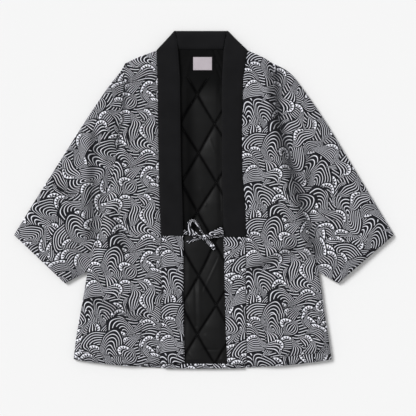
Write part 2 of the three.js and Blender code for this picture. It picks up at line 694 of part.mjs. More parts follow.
const STRIPS = {
  tie_left: [
    { x: -49.4, y: -76, z: 13.8, lean: 0, width: 11 },
    { x: -45, y: -76.4, z: 13.9, lean: 0, width: 11 },
    { x: -32, y: -79.5, z: 15.6, lean: 4, width: 11 },
    { x: -18, y: -84.5, z: 17.5, lean: 4, width: 9 },
    { x: -6.9, y: -88.3, z: 18, lean: 0, width: 6 },
  ],
  tie_right: [
    { x: 47.4, y: -82, z: 13.9, lean: 0, width: 11 },
    { x: 43, y: -82.2, z: 14, lean: 0, width: 11 },
    { x: 28, y: -85, z: 14.4, lean: 0, width: 10 },
    { x: 16, y: -88, z: 15, lean: 0, width: 8 },
    { x: 6.4, y: -89.5, z: 15.6, lean: 0, width: 6 },
  ],
  bow_loop_left: [
    { x: -1.2, y: -80.9, z: 20, lean: 70, width: 5 },
    { x: -8, y: -72, z: 23.5, lean: 66, width: 9 },
    { x: -17, y: -55, z: 25, lean: 66, width: 11 },
    { x: -27, y: -47.5, z: 25, lean: 60, width: 11 },
    { x: -36, y: -55, z: 24.2, lean: 40, width: 11 },
    { x: -35, y: -70, z: 23.8, lean: 28, width: 11 },
    { x: -22, y: -80, z: 23, lean: 12, width: 9 },
    { x: -6.4, y: -86.6, z: 21.4, lean: 0, width: 4 },
  ],
  bow_loop_right: [
    { x: 6.4, y: -85.4, z: 20.2, lean: 0, width: 6, thick: 5.6 },
    { x: 16, y: -81.5, z: 20.8, lean: 0, width: 9, thick: 5.6 },
    { x: 30, y: -76, z: 21.2, lean: 0, width: 13, thick: 5.6 },
    { x: 45.5, y: -69.6, z: 21.4, lean: 0, width: 14.5, thick: 5.6 },
  ],
  bow_tail_left: [
    { x: -6.4, y: -90.8, z: 15, lean: 0, width: 6 },
    { x: -12, y: -90.4, z: 14.3, lean: 0, width: 8 },
    { x: -26, y: -94.5, z: 14, lean: 0, width: 9.5 },
    { x: -41.6, y: -101, z: 13.9, lean: 0, width: 9.5 },
  ],
  bow_tail_right: [
    { x: 4, y: -94.9, z: 15.6, lean: 0, width: 6 },
    { x: 9, y: -99, z: 14.8, lean: 0, width: 9 },
    { x: 17, y: -107, z: 14.2, lean: 0, width: 10.5 },
    { x: 26, y: -117, z: 13.9, lean: 0, width: 10.5 },
  ],
};

const knot = () => {
  const geometry = new THREE.SphereGeometry(1, 14, 8);
  return geometry.scale(KNOT.rx, KNOT.ry, KNOT.rz).translate(KNOT.x, KNOT.y, KNOT.z);
};

const solids = { print: [], black: [], lining: [], label: [] };
const add = (slot, name, geometry) => solids[slot].push({ name, geometry });

add('print', 'back_body', backBody());
add('lining', 'back_lining', backLining());
add('print', 'back_hem_roll', backHemRoll());
for (const side of ['left', 'right']) {
  const grid = frontGrid(side);
  add('print', `front_${side}`, frontPanel(grid));
  add('print', `pocket_${side}`, pocket(grid));
  add('print', `sleeve_${side}`, sleeve(side));
  add('print', `lower_collar_${side}`, lowerCollar(side));
  add('black', `over_collar_${side}`, overCollarSide(side));
}
add('black', 'over_collar_back', overCollarBack());
add('label', 'label', labelPatch());
add('print', 'bow_knot', knot());
for (const [name, path] of Object.entries(STRIPS)) {
  add('print', name, strip(path, STRIP_STEPS));
}

const jacket = new THREE.Group();
for (const [slot, pieces] of Object.entries(solids)) {
  for (const { name, geometry } of pieces) {
    const material = new THREE.MeshStandardMaterial({ color: COLOURS[slot], roughness: 0.9, metalness: 0 });
    const mesh = new THREE.Mesh(geometry.translate(0, CENTRING, 0), material);
    mesh.name = name;
    jacket.add(mesh);
  }
}

export default jacket;
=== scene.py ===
# %% [markdown]
# # A hanten jacket, laid flat
#
# A hanten is a short Japanese house jacket: straight panels of printed cotton with wadding between the
# print and a quilted lining, wide sleeves, and a black collar band that runs down both fronts. It lies
# here on its back, front up, with a small bow tied across the opening.
#
# Every piece is cut and padded in this file as its maker would: an outline first, then the height of the
# wadding over it, then the folds. Outlines are in millimetres, as on a paper pattern, and become metres
# when a mesh is made. +X is to the viewer's right, +Y towards the collar, and +Z up from the floor.

# %% Load the frame
import math
from collections import namedtuple

import bpy
import numpy as np
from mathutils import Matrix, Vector


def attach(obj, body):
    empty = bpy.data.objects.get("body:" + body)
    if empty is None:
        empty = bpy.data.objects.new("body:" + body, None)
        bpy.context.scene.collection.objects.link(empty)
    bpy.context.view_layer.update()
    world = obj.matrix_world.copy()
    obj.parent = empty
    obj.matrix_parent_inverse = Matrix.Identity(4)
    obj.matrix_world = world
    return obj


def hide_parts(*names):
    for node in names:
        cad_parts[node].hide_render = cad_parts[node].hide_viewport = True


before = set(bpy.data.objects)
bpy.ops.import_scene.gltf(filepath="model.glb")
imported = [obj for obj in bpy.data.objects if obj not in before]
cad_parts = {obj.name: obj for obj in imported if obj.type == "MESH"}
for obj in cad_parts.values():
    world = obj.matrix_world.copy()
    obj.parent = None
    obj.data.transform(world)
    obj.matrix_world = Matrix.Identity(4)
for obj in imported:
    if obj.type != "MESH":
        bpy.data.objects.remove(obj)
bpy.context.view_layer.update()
MM = 0.001
print("solids in the frame:", len(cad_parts))

# %% [markdown]
# ## Camera
#
# The jacket was photographed from straight above with a long lens, so the camera looks down the Z axis.
# A camera with no rotation does just that, with +Y up in the picture. Its height follows from how wide a
# stretch of floor the picture shows. A longer lens further away would look nearly the same; a short one
# would show the side of each fold.

# %% The camera above the floor
PICTURE_WIDTH = 1019
PICTURE_CENTRE = (9.8, -20.5)
LENS = 100
SENSOR = 36
LOOK_HEIGHT = 12

camera_data = bpy.data.cameras.new("camera")
camera_data.lens = LENS
camera_data.sensor_width = SENSOR
camera_data.clip_end = 20
camera = bpy.data.objects.new("camera", camera_data)
distance = PICTURE_WIDTH * LENS / SENSOR
camera.location = Vector((*PICTURE_CENTRE, LOOK_HEIGHT + distance)) * MM
bpy.context.scene.collection.objects.link(camera)
bpy.context.scene.camera = camera
print(f"camera {camera.location.z:.2f} m above the floor")

# %% [markdown]
# ## Floor and light
#
# Pale paper below, pale walls around, and one big soft light from the upper left that models the folds.
# In a studio that light stands far away behind a cloth, so it falls equally on the whole floor. A sun
# lamp does that, and its angle of 24 degrees makes it as soft as a wide cloth would. A square lamp close
# by would light one corner of the paper more than the other. The pale room lights the shadows as well.
# The view transform is the plain one, so that white paper stays white and black cloth stays neutral.

# %% Pale room and one soft light
FLOOR_SIZE = 40
ROOM_LIGHT = 0.50
KEY_STRENGTH = 2.77
KEY_FROM = (-1.0, 0.9, 1.15)
KEY_SOFTNESS = 24

scene = bpy.context.scene
scene.view_settings.view_transform = "Standard"

key_data = bpy.data.lights.new("key_light", "SUN")
key_data.energy = KEY_STRENGTH
key_data.angle = math.radians(KEY_SOFTNESS)
key_light = bpy.data.objects.new("key_light", key_data)
key_light.location = KEY_FROM
key_light.rotation_euler = (-Vector(KEY_FROM)).to_track_quat("-Z", "Y").to_euler()
scene.collection.objects.link(key_light)

room = bpy.data.worlds.new("room")
room.use_nodes = True
room.node_tree.nodes["Background"].inputs["Color"].default_value = (1, 1, 1, 1)
room.node_tree.nodes["Background"].inputs["Strength"].default_value = ROOM_LIGHT
scene.world = room
height = math.degrees(math.atan2(KEY_FROM[2], math.hypot(*KEY_FROM[:2])))
print(f"the light comes from {height:.0f} degrees above the floor")

# %% [markdown]
# ## Small helpers for materials
#
# A material is a chain of nodes. Linking them by hand in code is long-winded, so one helper adds a node
# and plugs its inputs in order: a socket is linked, a number is typed in, and `None` is left alone. The
# other helpers are short names for the four kinds of node that are used most.


# %% Helpers that add one node each
def put(tree, kind, values=(), **settings):
    """Add a node, feed its inputs in order, and return the node."""
    node = tree.nodes.new(kind)
    for setting, value in settings.items():
        setattr(node, setting, value)
    for socket, value in zip(node.inputs, values):
        if isinstance(value, bpy.types.NodeSocket):
            tree.links.new(value, socket)
        elif value is not None:
            socket.default_value = value
    return node


def maths(tree, operation, *values, clamp=False):
    """One sum on numbers."""
    return put(tree, "ShaderNodeMath", values, operation=operation, use_clamp=clamp).outputs[0]


def vector(tree, operation, *values):
    """One sum on vectors; a length or a dot product comes out as a number."""
    node = put(tree, "ShaderNodeVectorMath", values, operation=operation)
    single = operation in ("LENGTH", "DOT_PRODUCT")
    return node.outputs["Value" if single else "Vector"]


def step(tree, value, low, high):
    """0 below low, 1 above high, and a soft rise between. A smooth step needs no clamp."""
    inputs = (value, low, high)
    ramp = put(tree, "ShaderNodeMapRange", inputs, interpolation_type="SMOOTHSTEP", clamp=False)
    return ramp.outputs[0]


def blend(tree, share, under, over):
    """under where share is 0, over where it is 1."""
    return put(tree, "ShaderNodeMix", (share, None, under, over)).outputs[0]


print("node helpers ready")

# %% [markdown]
# ## The wave print
#
# The cotton is printed with waves: black ground, off-white lines. Three motifs make all of it: swells,
# crescents and crests of foam. They could be painted in an image, but an image goes soft close by and
# repeats at its own size. Drawn by nodes, each line stays sharp at any distance.
#
# Each motif is one node group. It is used again and again, each time with another place, size and turn,
# and each one is laid over the last, like scales. Each group turns a place on the cloth into one number
# that grows across its lines; a cosine of that number draws them, and how much of the cosine is printed
# sets how bold they are. The sockets below are the same in all three.

# %% Sockets that all motifs share
TILE = 208
LINE_EDGE = 0.20
LINE_INK = 0.98
OUTLINE_SHARE = 0.07


def motif(name, numbers):
    """A group that takes what is printed so far and hands it on; also gives the place in its own units."""
    tree = bpy.data.node_groups.new(name, "ShaderNodeTree")
    for socket in ["Cloth", "Centre", "Turn", "Scale"]:
        tree.interface.new_socket(name=socket, in_out="INPUT", socket_type="NodeSocketVector")
    for socket in ["Under", *numbers]:
        tree.interface.new_socket(name=socket, in_out="INPUT", socket_type="NodeSocketFloat")
    tree.interface.new_socket(name="Ink", in_out="OUTPUT", socket_type="NodeSocketFloat")
    given = tree.nodes.new("NodeGroupInput").outputs
    half_tile = (TILE / 2,) * 3
    from_centre = vector(tree, "SUBTRACT", given["Cloth"], given["Centre"])
    nearest = vector(tree, "WRAP", from_centre, half_tile, tuple(-x for x in half_tile))
    inputs = (nearest, None, given["Turn"], given["Scale"])
    placed = put(tree, "ShaderNodeMapping", inputs, vector_type="TEXTURE").outputs[0]
    return tree, given, placed


def drawn_lines(tree, far, lines, thin):
    """White where the cosine is below that level."""
    swing = maths(tree, "COSINE", maths(tree, "MULTIPLY", far, lines))
    line = step(tree, maths(tree, "SUBTRACT", thin, swing), -LINE_EDGE, LINE_EDGE)
    return maths(tree, "MULTIPLY", line, LINE_INK)


def outlined(tree, to_rim, ink):
    """Where the motif covers the cloth, with a black line all round, and its ink inside that line."""
    cover = step(tree, to_rim, -OUTLINE_SHARE, -OUTLINE_SHARE + 0.02)
    return cover, maths(tree, "MULTIPLY", ink, step(tree, to_rim, 0.0, 0.02))


def hand_on(tree, given, cover, ink):
    """The new ink where the motif covers the cloth, and the old ink elsewhere."""
    put(tree, "NodeGroupOutput", (blend(tree, cover, given["Under"], ink),))
    return tree


print("repeat of the print:", TILE, "mm")


# %% [markdown]
# ### Swell
#
# A swell is a bundle of nested ovals that crowd together on one side and open out on the other, like the
# rings of a shell. The distance from a point draws circles. Adding a little of the way sideways to that
# distance shifts each circle more than the last one, and that is the whole trick.

# %% Swell: ovals that crowd to one side
MOTIFS = {}


def swell_group():
    tree, given, placed = motif("swell", ["LeanX", "LeanY", "Lines", "Thin"])
    lean = put(tree, "ShaderNodeCombineXYZ", (given["LeanX"], given["LeanY"])).outputs[0]
    sideways = vector(tree, "DOT_PRODUCT", placed, lean)
    far = maths(tree, "ADD", vector(tree, "LENGTH", placed), sideways)
    ink = drawn_lines(tree, far, given["Lines"], given["Thin"])
    to_rim = maths(tree, "SUBTRACT", 1.0, far)
    return hand_on(tree, given, *outlined(tree, to_rim, ink))


MOTIFS["swell"] = swell_group()
print("nodes in a swell:", len(MOTIFS["swell"].nodes))

# %% [markdown]
# ### Crescent
#
# A crescent is a bundle of arcs that all end in the same two tips. An arch of any height between two tips
# is that height times a parabola which is zero at both. So a point's height divided by the parabola tells
# which arch it lies on, and that number draws the lines.


# %% Crescent: arcs from tip to tip
def crescent_group():
    """Between its tips at -1 and 1, an arc is its height divided by 1 - x squared."""
    tree, given, placed = motif("crescent", ["Bend", "Lines", "Thin"])
    apart = put(tree, "ShaderNodeSeparateXYZ", (placed,)).outputs
    squared = maths(tree, "MULTIPLY", apart["X"], apart["X"])
    open_here = maths(tree, "SUBTRACT", 1.0, squared)
    arc = maths(tree, "DIVIDE", apart["Y"], maths(tree, "MAXIMUM", open_here, 0.01))
    far = maths(tree, "SUBTRACT", arc, given["Bend"])
    ink = drawn_lines(tree, far, given["Lines"], given["Thin"])
    off_middle = maths(tree, "ABSOLUTE", maths(tree, "SUBTRACT", far, 0.5))
    cover, ink = outlined(tree, maths(tree, "SUBTRACT", 0.5, off_middle), ink)
    tips = step(tree, open_here, 0.0, 0.02)
    return hand_on(tree, given, maths(tree, "MULTIPLY", cover, tips), ink)


MOTIFS["crescent"] = crescent_group()
print("nodes in a crescent:", len(MOTIFS["crescent"].nodes))

# %% [markdown]
# ### Foam
#
# A crest of foam is a short curved band, smooth outside and toothed inside, with a black edge that sets
# it off. It is drawn round a circle: the angle gives the place along the band, the square of its sine
# gives the teeth, and the distance from the circle tells inside from outside.

# %% Foam: a curved band with teeth
TOOTH = 0.76
FOAM_SWELL = 0.10
FOAM_EDGE = 0.42
BEAD_SOFT = 0.14
EDGE_SOFT = 0.1
TIP_SOFT = 0.06


def foam_group():
    tree, given, placed = motif("foam", ["Half", "Teeth", "Depth"])
    apart = put(tree, "ShaderNodeSeparateXYZ", (placed,)).outputs
    along = maths(tree, "ARCTAN2", apart["Y"], apart["X"])
    from_rim = maths(tree, "SUBTRACT", vector(tree, "LENGTH", placed), 1.0)
    out = maths(tree, "DIVIDE", from_rim, given["Depth"])
    swing = maths(tree, "SINE", maths(tree, "MULTIPLY", along, given["Teeth"]))
    beads = maths(tree, "MULTIPLY", swing, swing)
    here = maths(tree, "SUBTRACT", given["Half"], maths(tree, "ABSOLUTE", along))
    outer = maths(tree, "SUBTRACT", maths(tree, "MULTIPLY", beads, FOAM_SWELL), out)
    inner = maths(tree, "ADD", out, maths(tree, "MULTIPLY_ADD", beads, TOOTH, 1.0 - TOOTH))
    nearest_edge = maths(tree, "MINIMUM", outer, inner)
    in_beads = step(tree, nearest_edge, 0.0, BEAD_SOFT)
    off_tips = step(tree, here, TIP_SOFT, 2 * TIP_SOFT)
    white = maths(tree, "MULTIPLY", in_beads, off_tips)
    in_edge = step(tree, nearest_edge, -FOAM_EDGE, -FOAM_EDGE + EDGE_SOFT)
    cover = maths(tree, "MULTIPLY", in_edge, step(tree, here, 0.0, TIP_SOFT))
    return hand_on(tree, given, cover, white)


MOTIFS["foam"] = foam_group()
print("nodes in a crest of foam:", len(MOTIFS["foam"].nodes))

# %% [markdown]
# ## The layout of the print
#
# A traditional wave print is laid out like fish scales: row after row, each row shifted by half a step
# and laid over the one above, so that only the upper part of most waves shows. Here a seeded generator
# does what a block cutter's hand does, and gives each wave its own turn, width, bend and number of
# lines. Most crescents get foam on their outer arc. Where that arc bends most it is nearly a circle, with
# half the span squared over twice the rise as its radius, and the foam runs along that circle. A very
# small circle would make a blob, so none is smaller than a lower limit.
#
# The seed is fixed, so each run prints the same cotton. Another seed would give another pattern in the
# same style, which is also how to make a second, matching fabric.

# %% The layout
Swell = namedtuple("Swell", "x y size stretch turn crowd_to crowd lines thin")
Crescent = namedtuple("Crescent", "x y half width turn bend lines thin")
Foam = namedtuple("Foam", "x y radius start end")
BOLD, MEDIUM, FINE = -0.70, -0.74, -0.79
LINE_PITCHES = [4.8, 5.6, 6.6]
COLUMNS, ROWS = 5, 7
TURN_LIMIT = 100
SWELL_SHARE = 0.25
SWELL_CROWD = 0.44
SWELL_PITCH = 3.1
FOAM_DEPTH = 7.4
BEAD_LENGTH = 7.8
FOAM_SHARE = 0.9
SMALLEST_CREST = 21
CREST_SLIP = 32
CREST_HALF_LENGTH = (17, 29)


def crest_of(row, chance):
    """Foam along part of a crescent's outer arc."""
    rise = (1 + row.bend) * row.width
    radius = max(row.half ** 2 / (2 * rise), SMALLEST_CREST)
    up = math.radians(row.turn + 90)
    x = row.x + (rise - radius) * math.cos(up)
    y = row.y + (rise - radius) * math.sin(up)
    middle = row.turn + 90 + chance.uniform(-CREST_SLIP, CREST_SLIP)
    half = math.degrees(chance.uniform(*CREST_HALF_LENGTH) / radius)
    return Foam(x, y, radius, middle - half, middle + half)


def layout(chance):
    """All motifs of one repeat, from the first printed to the last."""
    motifs = []
    for row in range(ROWS):
        for column in range(COLUMNS):
            x = (column + 0.5 * (row % 2) + chance.uniform(-0.22, 0.22)) * TILE / COLUMNS
            y = TILE - (row + chance.uniform(-0.25, 0.25)) * TILE / ROWS
            turn = chance.uniform(-TURN_LIMIT, TURN_LIMIT)
            if chance.random() < SWELL_SHARE:
                size, stretch = chance.uniform(17, 24), chance.uniform(1.6, 2.3)
                crowd_to, thin = chance.uniform(200, 340), chance.choice([MEDIUM, FINE])
                lines = round(size / SWELL_PITCH)
                motifs.append(Swell(x, y, size, stretch, turn, crowd_to, SWELL_CROWD, lines, thin))
                continue
            half, bend = chance.uniform(25, 38), chance.uniform(-0.5, 0.3)
            width = chance.uniform(0.75, 1.15) * half / (1 + 0.5 * bend)
            lines = round(width / chance.choice(LINE_PITCHES))
            thin = chance.choice([BOLD, MEDIUM, FINE])
            wave = Crescent(x, y, half, width, turn, bend, lines, thin)
            motifs.append(wave)
            if chance.random() < FOAM_SHARE:
                motifs.append(crest_of(wave, chance))
    return motifs


LAYOUT = layout(np.random.default_rng(11))
print(len(LAYOUT), "motifs in a repeat, of which foam:", sum(isinstance(m, Foam) for m in LAYOUT))

# %% [markdown]
# ## Printing all the motifs
#
# Below the motifs lies plain water: fine lines that sway. Before anything is drawn, the flat coordinates
# are pushed to and fro by a few millimetres with slow sines, so that no oval stays a perfect oval. The
# sines fit the repeat a whole number of times, so the print still joins where it repeats.

# %% The whole print
SWAY = 5.0
SWAYS = [("X", "Y", 2, 0.4), ("Y", "X", 3, 2.1), ("X", "Y", 5, 4.0)]
WATER_LINES = 30


def swayed(tree, cloth):
    """The flat coordinates, pushed about smoothly."""
    apart = put(tree, "ShaderNodeSeparateXYZ", (cloth,)).outputs
    moved = {"X": apart["X"], "Y": apart["Y"]}
    for axis, source, count, phase in SWAYS:
        swing = maths(tree, "MULTIPLY_ADD", moved[source], math.tau * count / TILE, phase)
        moved[axis] = maths(tree, "MULTIPLY_ADD", maths(tree, "SINE", swing), SWAY * 2 / count, moved[axis])
    return put(tree, "ShaderNodeCombineXYZ", (moved["X"], moved["Y"])).outputs[0]


def settings_of(row):
    """What a chart's row means for its group's own sockets."""
    place = {"Centre": (row.x, row.y, 0)}
    if isinstance(row, Foam):
        half = math.radians(row.end - row.start) / 2
        turn = math.radians(row.start) + half
        teeth = math.pi * row.radius / BEAD_LENGTH
        size = (row.radius, row.radius, 1)
        return place | {"Turn": (0, 0, turn), "Scale": size, "Half": half, "Teeth": teeth,
                        "Depth": FOAM_DEPTH / row.radius}
    turn = math.radians(row.turn)
    place |= {"Turn": (0, 0, turn), "Lines": math.tau * row.lines, "Thin": row.thin}
    if isinstance(row, Crescent):
        return place | {"Scale": (row.half, row.width, 1), "Bend": row.bend}
    lean = math.radians(row.crowd_to) - turn
    return place | {"Scale": (row.size * row.stretch, row.size, 1),
                    "LeanX": row.crowd * math.cos(lean), "LeanY": row.crowd * math.sin(lean)}


def wave_print(tree, cloth):
    """The whole print as one number: 0 on the black ground, 1 on the off-white lines."""
    cloth = swayed(tree, cloth)
    height = put(tree, "ShaderNodeSeparateXYZ", (cloth,)).outputs["Y"]
    ink = drawn_lines(tree, height, math.tau * WATER_LINES / TILE, FINE)
    for row in LAYOUT:
        node = put(tree, "ShaderNodeGroup", node_tree=MOTIFS[type(row).__name__.lower()])
        for name, value in settings_of(row).items():
            node.inputs[name].default_value = value
        tree.links.new(cloth, node.inputs["Cloth"])
        tree.links.new(ink, node.inputs["Under"])
        ink = node.outputs["Ink"]
    return ink


print("lines of plain water in a repeat:", WATER_LINES)

# %% [markdown]
# ## Helpers for cloth
#
# All cloths share three things: threads over and under each other as a fine bump, the flat coordinates of
# their own panel, and a tone that drifts a little. A bump is enough for threads of half a millimetre,
# which are far too small to be meshes.


# %% Weave, coordinates and uneven tone
def weave(tree, cloth, pitch, strength, reach):
    """Threads over and under each other, as a bump of that reach in millimetres."""
    scaled = vector(tree, "SCALE", cloth)
    scaled.node.inputs["Scale"].default_value = math.pi / pitch
    apart = put(tree, "ShaderNodeSeparateXYZ", (scaled,)).outputs
    warp = maths(tree, "SINE", apart["X"])
    weft = maths(tree, "SINE", apart["Y"])
    height = maths(tree, "MULTIPLY", warp, weft)
    bump = tree.nodes.new("ShaderNodeBump")
    bump.inputs["Strength"].default_value = strength
    bump.inputs["Distance"].default_value = reach * MM
    tree.links.new(height, bump.inputs["Height"])
    return bump.outputs["Normal"]


def new_material(name):
    """An empty material, its shader, and the panel's flat coordinates in millimetres."""
    made = bpy.data.materials.new(name)
    made.use_nodes = True
    tree = made.node_tree
    shader = tree.nodes["Principled BSDF"]
    flat = put(tree, "ShaderNodeUVMap", uv_map="cloth").outputs[0]
    cloth = vector(tree, "SCALE", flat)
    cloth.node.inputs["Scale"].default_value = 1 / MM
    return made, tree, shader, cloth


def uneven(tree, cloth, size, low, high):
    """A cloudy number between low and high, with clouds of about that size in millimetres."""
    noise = tree.nodes.new("ShaderNodeTexNoise")
    tree.links.new(cloth, noise.inputs["Vector"])
    noise.inputs["Scale"].default_value = 1 / size
    noise.inputs["Detail"].default_value = 3
    ramp = put(tree, "ShaderNodeMapRange", (noise.outputs[0], 0.3, 0.7, low, high))
    return ramp.outputs[0]


print("cloth helpers ready")

# %% [markdown]
# ## Printed cotton
#
# Plain-weave cotton, matt, with a little fuzz that catches light at a glancing angle: that is the sheen.
# The ink is not perfectly even, so the white lines drift a little in tone, and the threads show as a
# fine grid of bumps. The print is read from the panel's own flat coordinates, which is why it bends
# with each fold.
#
# Deep in a fold the cloth shades itself twice, and thick wadding closes the fold further than a mesh of
# this size can. So that shade is painted: each mesh also carries a number for each point, named depth, 0 on
# the open cloth and up to 1 at the bottom of a fold, and the print loses that share of its white as painted
# shade.

# %% Printed cotton
THREAD = 0.55
PAINTED_SHADE_NAME = "depth"
INK_LIGHT = (0.84, 0.845, 0.91, 1)
WORN_SHARE = 0.90
INK_DARK = (0.008, 0.0083, 0.011, 1)


def printed_cotton():
    made, tree, shader, cloth = new_material("printed_cotton")
    # painted shade: the print's white is darkened in the folds by the number named depth
    depth = put(tree, "ShaderNodeAttribute", attribute_name=PAINTED_SHADE_NAME).outputs["Fac"]
    ink = maths(tree, "MULTIPLY", wave_print(tree, cloth), maths(tree, "SUBTRACT", 1.0, depth))
    light = put(tree, "ShaderNodeMix", (uneven(tree, cloth, 60, 0.0, 1.0),), data_type="RGBA")
    light.inputs[6].default_value = INK_LIGHT
    light.inputs[7].default_value = tuple(WORN_SHARE * c for c in INK_LIGHT[:3]) + (1,)
    colour = put(tree, "ShaderNodeMix", (ink,), data_type="RGBA")
    colour.inputs[6].default_value = INK_DARK
    tree.links.new(light.outputs[2], colour.inputs[7])
    tree.links.new(colour.outputs[2], shader.inputs["Base Color"])
    shader.inputs["Roughness"].default_value = 0.86
    shader.inputs["Specular IOR Level"].default_value = 0.16
    shader.inputs["Sheen Weight"].default_value = 0.05
    shader.inputs["Sheen Roughness"].default_value = 0.5
    tree.links.new(weave(tree, cloth, THREAD, 0.35, 0.12), shader.inputs["Normal"])
    return made


PRINT = printed_cotton()
print("print material nodes:", len(PRINT.node_tree.nodes))

# %% [markdown]
# ## Black cotton, black satin, label and thread
#
# The collar is black cotton, thicker and quite matt. The lining is a thin satin: its threads run one way,
# so it is smoother and shines softly on each quilted crown. The label is a pale woven tape with nothing
# on it. All differ mostly in how rough they are and in the scale of their weave.
#
# Almost no light comes out of the ditches of the quilting, and that shade is painted: there the satin
# uses the same number, depth, to turn darker, less shiny and rougher. The other plain cloths leave it out.


# %% The plain cloths
# painted shade: the satin's colour and lost shine at the bottom of a ditch and in the collar's shadow
DITCH_SHADE_COLOUR = (0.0006, 0.0006, 0.0007, 1)
DITCH_SHADE_DULL = 0.9


def plain_cloth(name, colour, roughness, shine, sheen, pitch, strength, drift, ditches=False):
    made, tree, shader, cloth = new_material(name)
    shade = put(tree, "ShaderNodeMix", (uneven(tree, cloth, 45, 0.0, 1.0),), data_type="RGBA")
    shade.inputs[6].default_value = (*colour, 1)
    shade.inputs[7].default_value = tuple(c * drift for c in colour) + (1,)
    shown = shade.outputs[2]
    if ditches:
        # painted shade: darker colour, less shine and more roughness where the number named depth is high
        depth = put(tree, "ShaderNodeAttribute", attribute_name=PAINTED_SHADE_NAME).outputs["Fac"]
        dark = put(tree, "ShaderNodeMix", (depth,), data_type="RGBA")
        tree.links.new(shown, dark.inputs[6])
        dark.inputs[7].default_value = DITCH_SHADE_COLOUR
        shown = dark.outputs[2]
        rough = maths(tree, "MULTIPLY_ADD", depth, 1 - roughness, roughness)
        tree.links.new(rough, shader.inputs["Roughness"])
        dull = maths(tree, "MULTIPLY_ADD", depth, -DITCH_SHADE_DULL * shine, shine)
        tree.links.new(dull, shader.inputs["Specular IOR Level"])
    tree.links.new(shown, shader.inputs["Base Color"])
    shader.inputs["Roughness"].default_value = roughness
    shader.inputs["Specular IOR Level"].default_value = shine
    shader.inputs["Sheen Weight"].default_value = sheen
    tree.links.new(weave(tree, cloth, pitch, strength, 0.1), shader.inputs["Normal"])
    return made


BLACK = plain_cloth("black_cotton", (0.0085, 0.0085, 0.0095), 0.88, 0.10, 0.01, 0.7, 0.5, 0.75)
SATIN = plain_cloth("lining_satin", (0.0042, 0.0043, 0.0046), 0.46, 0.20, 0.0, 0.3, 0.15, 0.6, True)
LABEL = plain_cloth("woven_label", (0.50, 0.45, 0.485), 0.75, 0.2, 0.03, 0.45, 0.6, 0.94)
THREAD_BLACK = plain_cloth("black_thread", (0.012, 0.012, 0.013), 0.6, 0.2, 0.0, 0.2, 0.3, 0.9)
THREAD_WHITE = plain_cloth("white_thread", (0.6, 0.58, 0.6), 0.6, 0.2, 0.0, 0.2, 0.3, 0.9)
print("materials:", [m.name for m in bpy.data.materials])

# %% [markdown]
# ## Outlines
#
# The pattern pieces meet along shared lines: armhole, side seam, sleeve fold and shoulder. Each line is a
# few points read off the garment, with a smooth curve through them. A curve through points is handier
# here than a Bezier curve with handles, because every point is a place that can be measured on a jacket.
# The curve is cut into stations by its length, so the grids that are laid between the lines stay even.

# %% The pattern's lines
GAP = 0.3
TOP = 418
HEM = -411
NECKLINE = 371
HEM_LIFT = 23
HALF_WIDTH = 319
CENTRING = (0, -3.5, 0)
LEFT, RIGHT = 0, 1
SIDES = {LEFT: "left", RIGHT: "right"}
SIGN = {LEFT: -1, RIGHT: 1}

# Each row: height, x on the left side, x on the right side
ARMHOLE = [
    (338, -193, 169), (265, -199, 173), (215, -206, 181), (120, -215, 199),
    (60, -225, 215), (-20, -243, 241), (-100, -263, 263), (-173, -286, 281),
]
SIDE_SEAM = [(-173, -286, 281), (-223, -294, 289), (-262, -301, 294), (-331, -313, 305), (-388, -320, 313)]
SLEEVE_FOLD = [
    (338, -193, 169), (316, -206, 209), (278, -236, 241), (198, -290, 296),
    (100, -352, 356), (0, -415, 416), (-83, -466, 466),
]
CUFF_CORNER = (-202, -341, 329)
SHOULDER = [(338, -193, 169), (354, -158, 142), (370, -116, 108)]

# The collar's edges. Each row: height, then left outer, left inner, right inner and right outer x
COLLAR = np.array([
    (418, -73, -68, 55, 59), (394, -94, -66, 52, 82), (370, -116, -63, 48, 106),
    (300, -113, -58, 44, 96), (180, -112, -57, 44, 93), (70, -110, -55, 44, 94),
    (-10, -108, -52, 46, 101), (-87, -105, -50, 48, 103), (-220, -104, -50, 51, 103),
    (-330, -106, -49, 54, 104), (-408, -108, -47, 58, 106),
], float)
OUTER = {LEFT: 1, RIGHT: 4}
INNER = {LEFT: 2, RIGHT: 3}
COLLAR_HEM = {LEFT: -397, RIGHT: -400}
OVER_COLLAR_END = {LEFT: -85, RIGHT: -88}
print("the armhole is read off at", len(ARMHOLE), "heights, the collar at", len(COLLAR))

# %% [markdown]
# ### Curves through the points
#
# Each table becomes a smooth curve. The side of the body is one line from the hem to the shoulder: the
# side seam and, above it, the armhole. It lies half a seam's gap inside that line, and the sleeve lies
# half a gap outside, so the two never touch.


# %% Curves and edges
def spline(points, fractions, fine=40):
    """Points on a smooth curve through the given ones, at these fractions of its length."""
    points = np.asarray(points, float)
    ended = np.vstack([points[:1], points, points[-1:]])
    t = np.linspace(0, 1, fine, endpoint=False)[:, None]
    parts = []
    for p0, p1, p2, p3 in zip(ended, ended[1:], ended[2:], ended[3:]):
        start = (p2 - p0) / 2
        end = (p3 - p1) / 2
        cubic = 2 * p1 - 2 * p2 + start + end
        square = -3 * p1 + 3 * p2 - 2 * start - end
        parts.append(cubic * t ** 3 + square * t ** 2 + start * t + p1)
    line = np.vstack([*parts, points[-1:]])
    run = np.r_[0, np.cumsum(np.linalg.norm(np.diff(line, axis=0), axis=1))]
    wanted = np.asarray(fractions, float) * run[-1]
    return np.stack([np.interp(wanted, run, column) for column in line.T], axis=1)


def side_points(table, side):
    return [(row[1 + side], row[0]) for row in table]


def collar_x(column, y):
    """x of a collar edge at height y."""
    return np.interp(y, COLLAR[::-1, 0], COLLAR[::-1, column])


def hem_y(x):
    """The hem hangs lowest at the middle of the back."""
    return HEM + HEM_LIFT * np.abs(x / HALF_WIDTH) ** 2.4


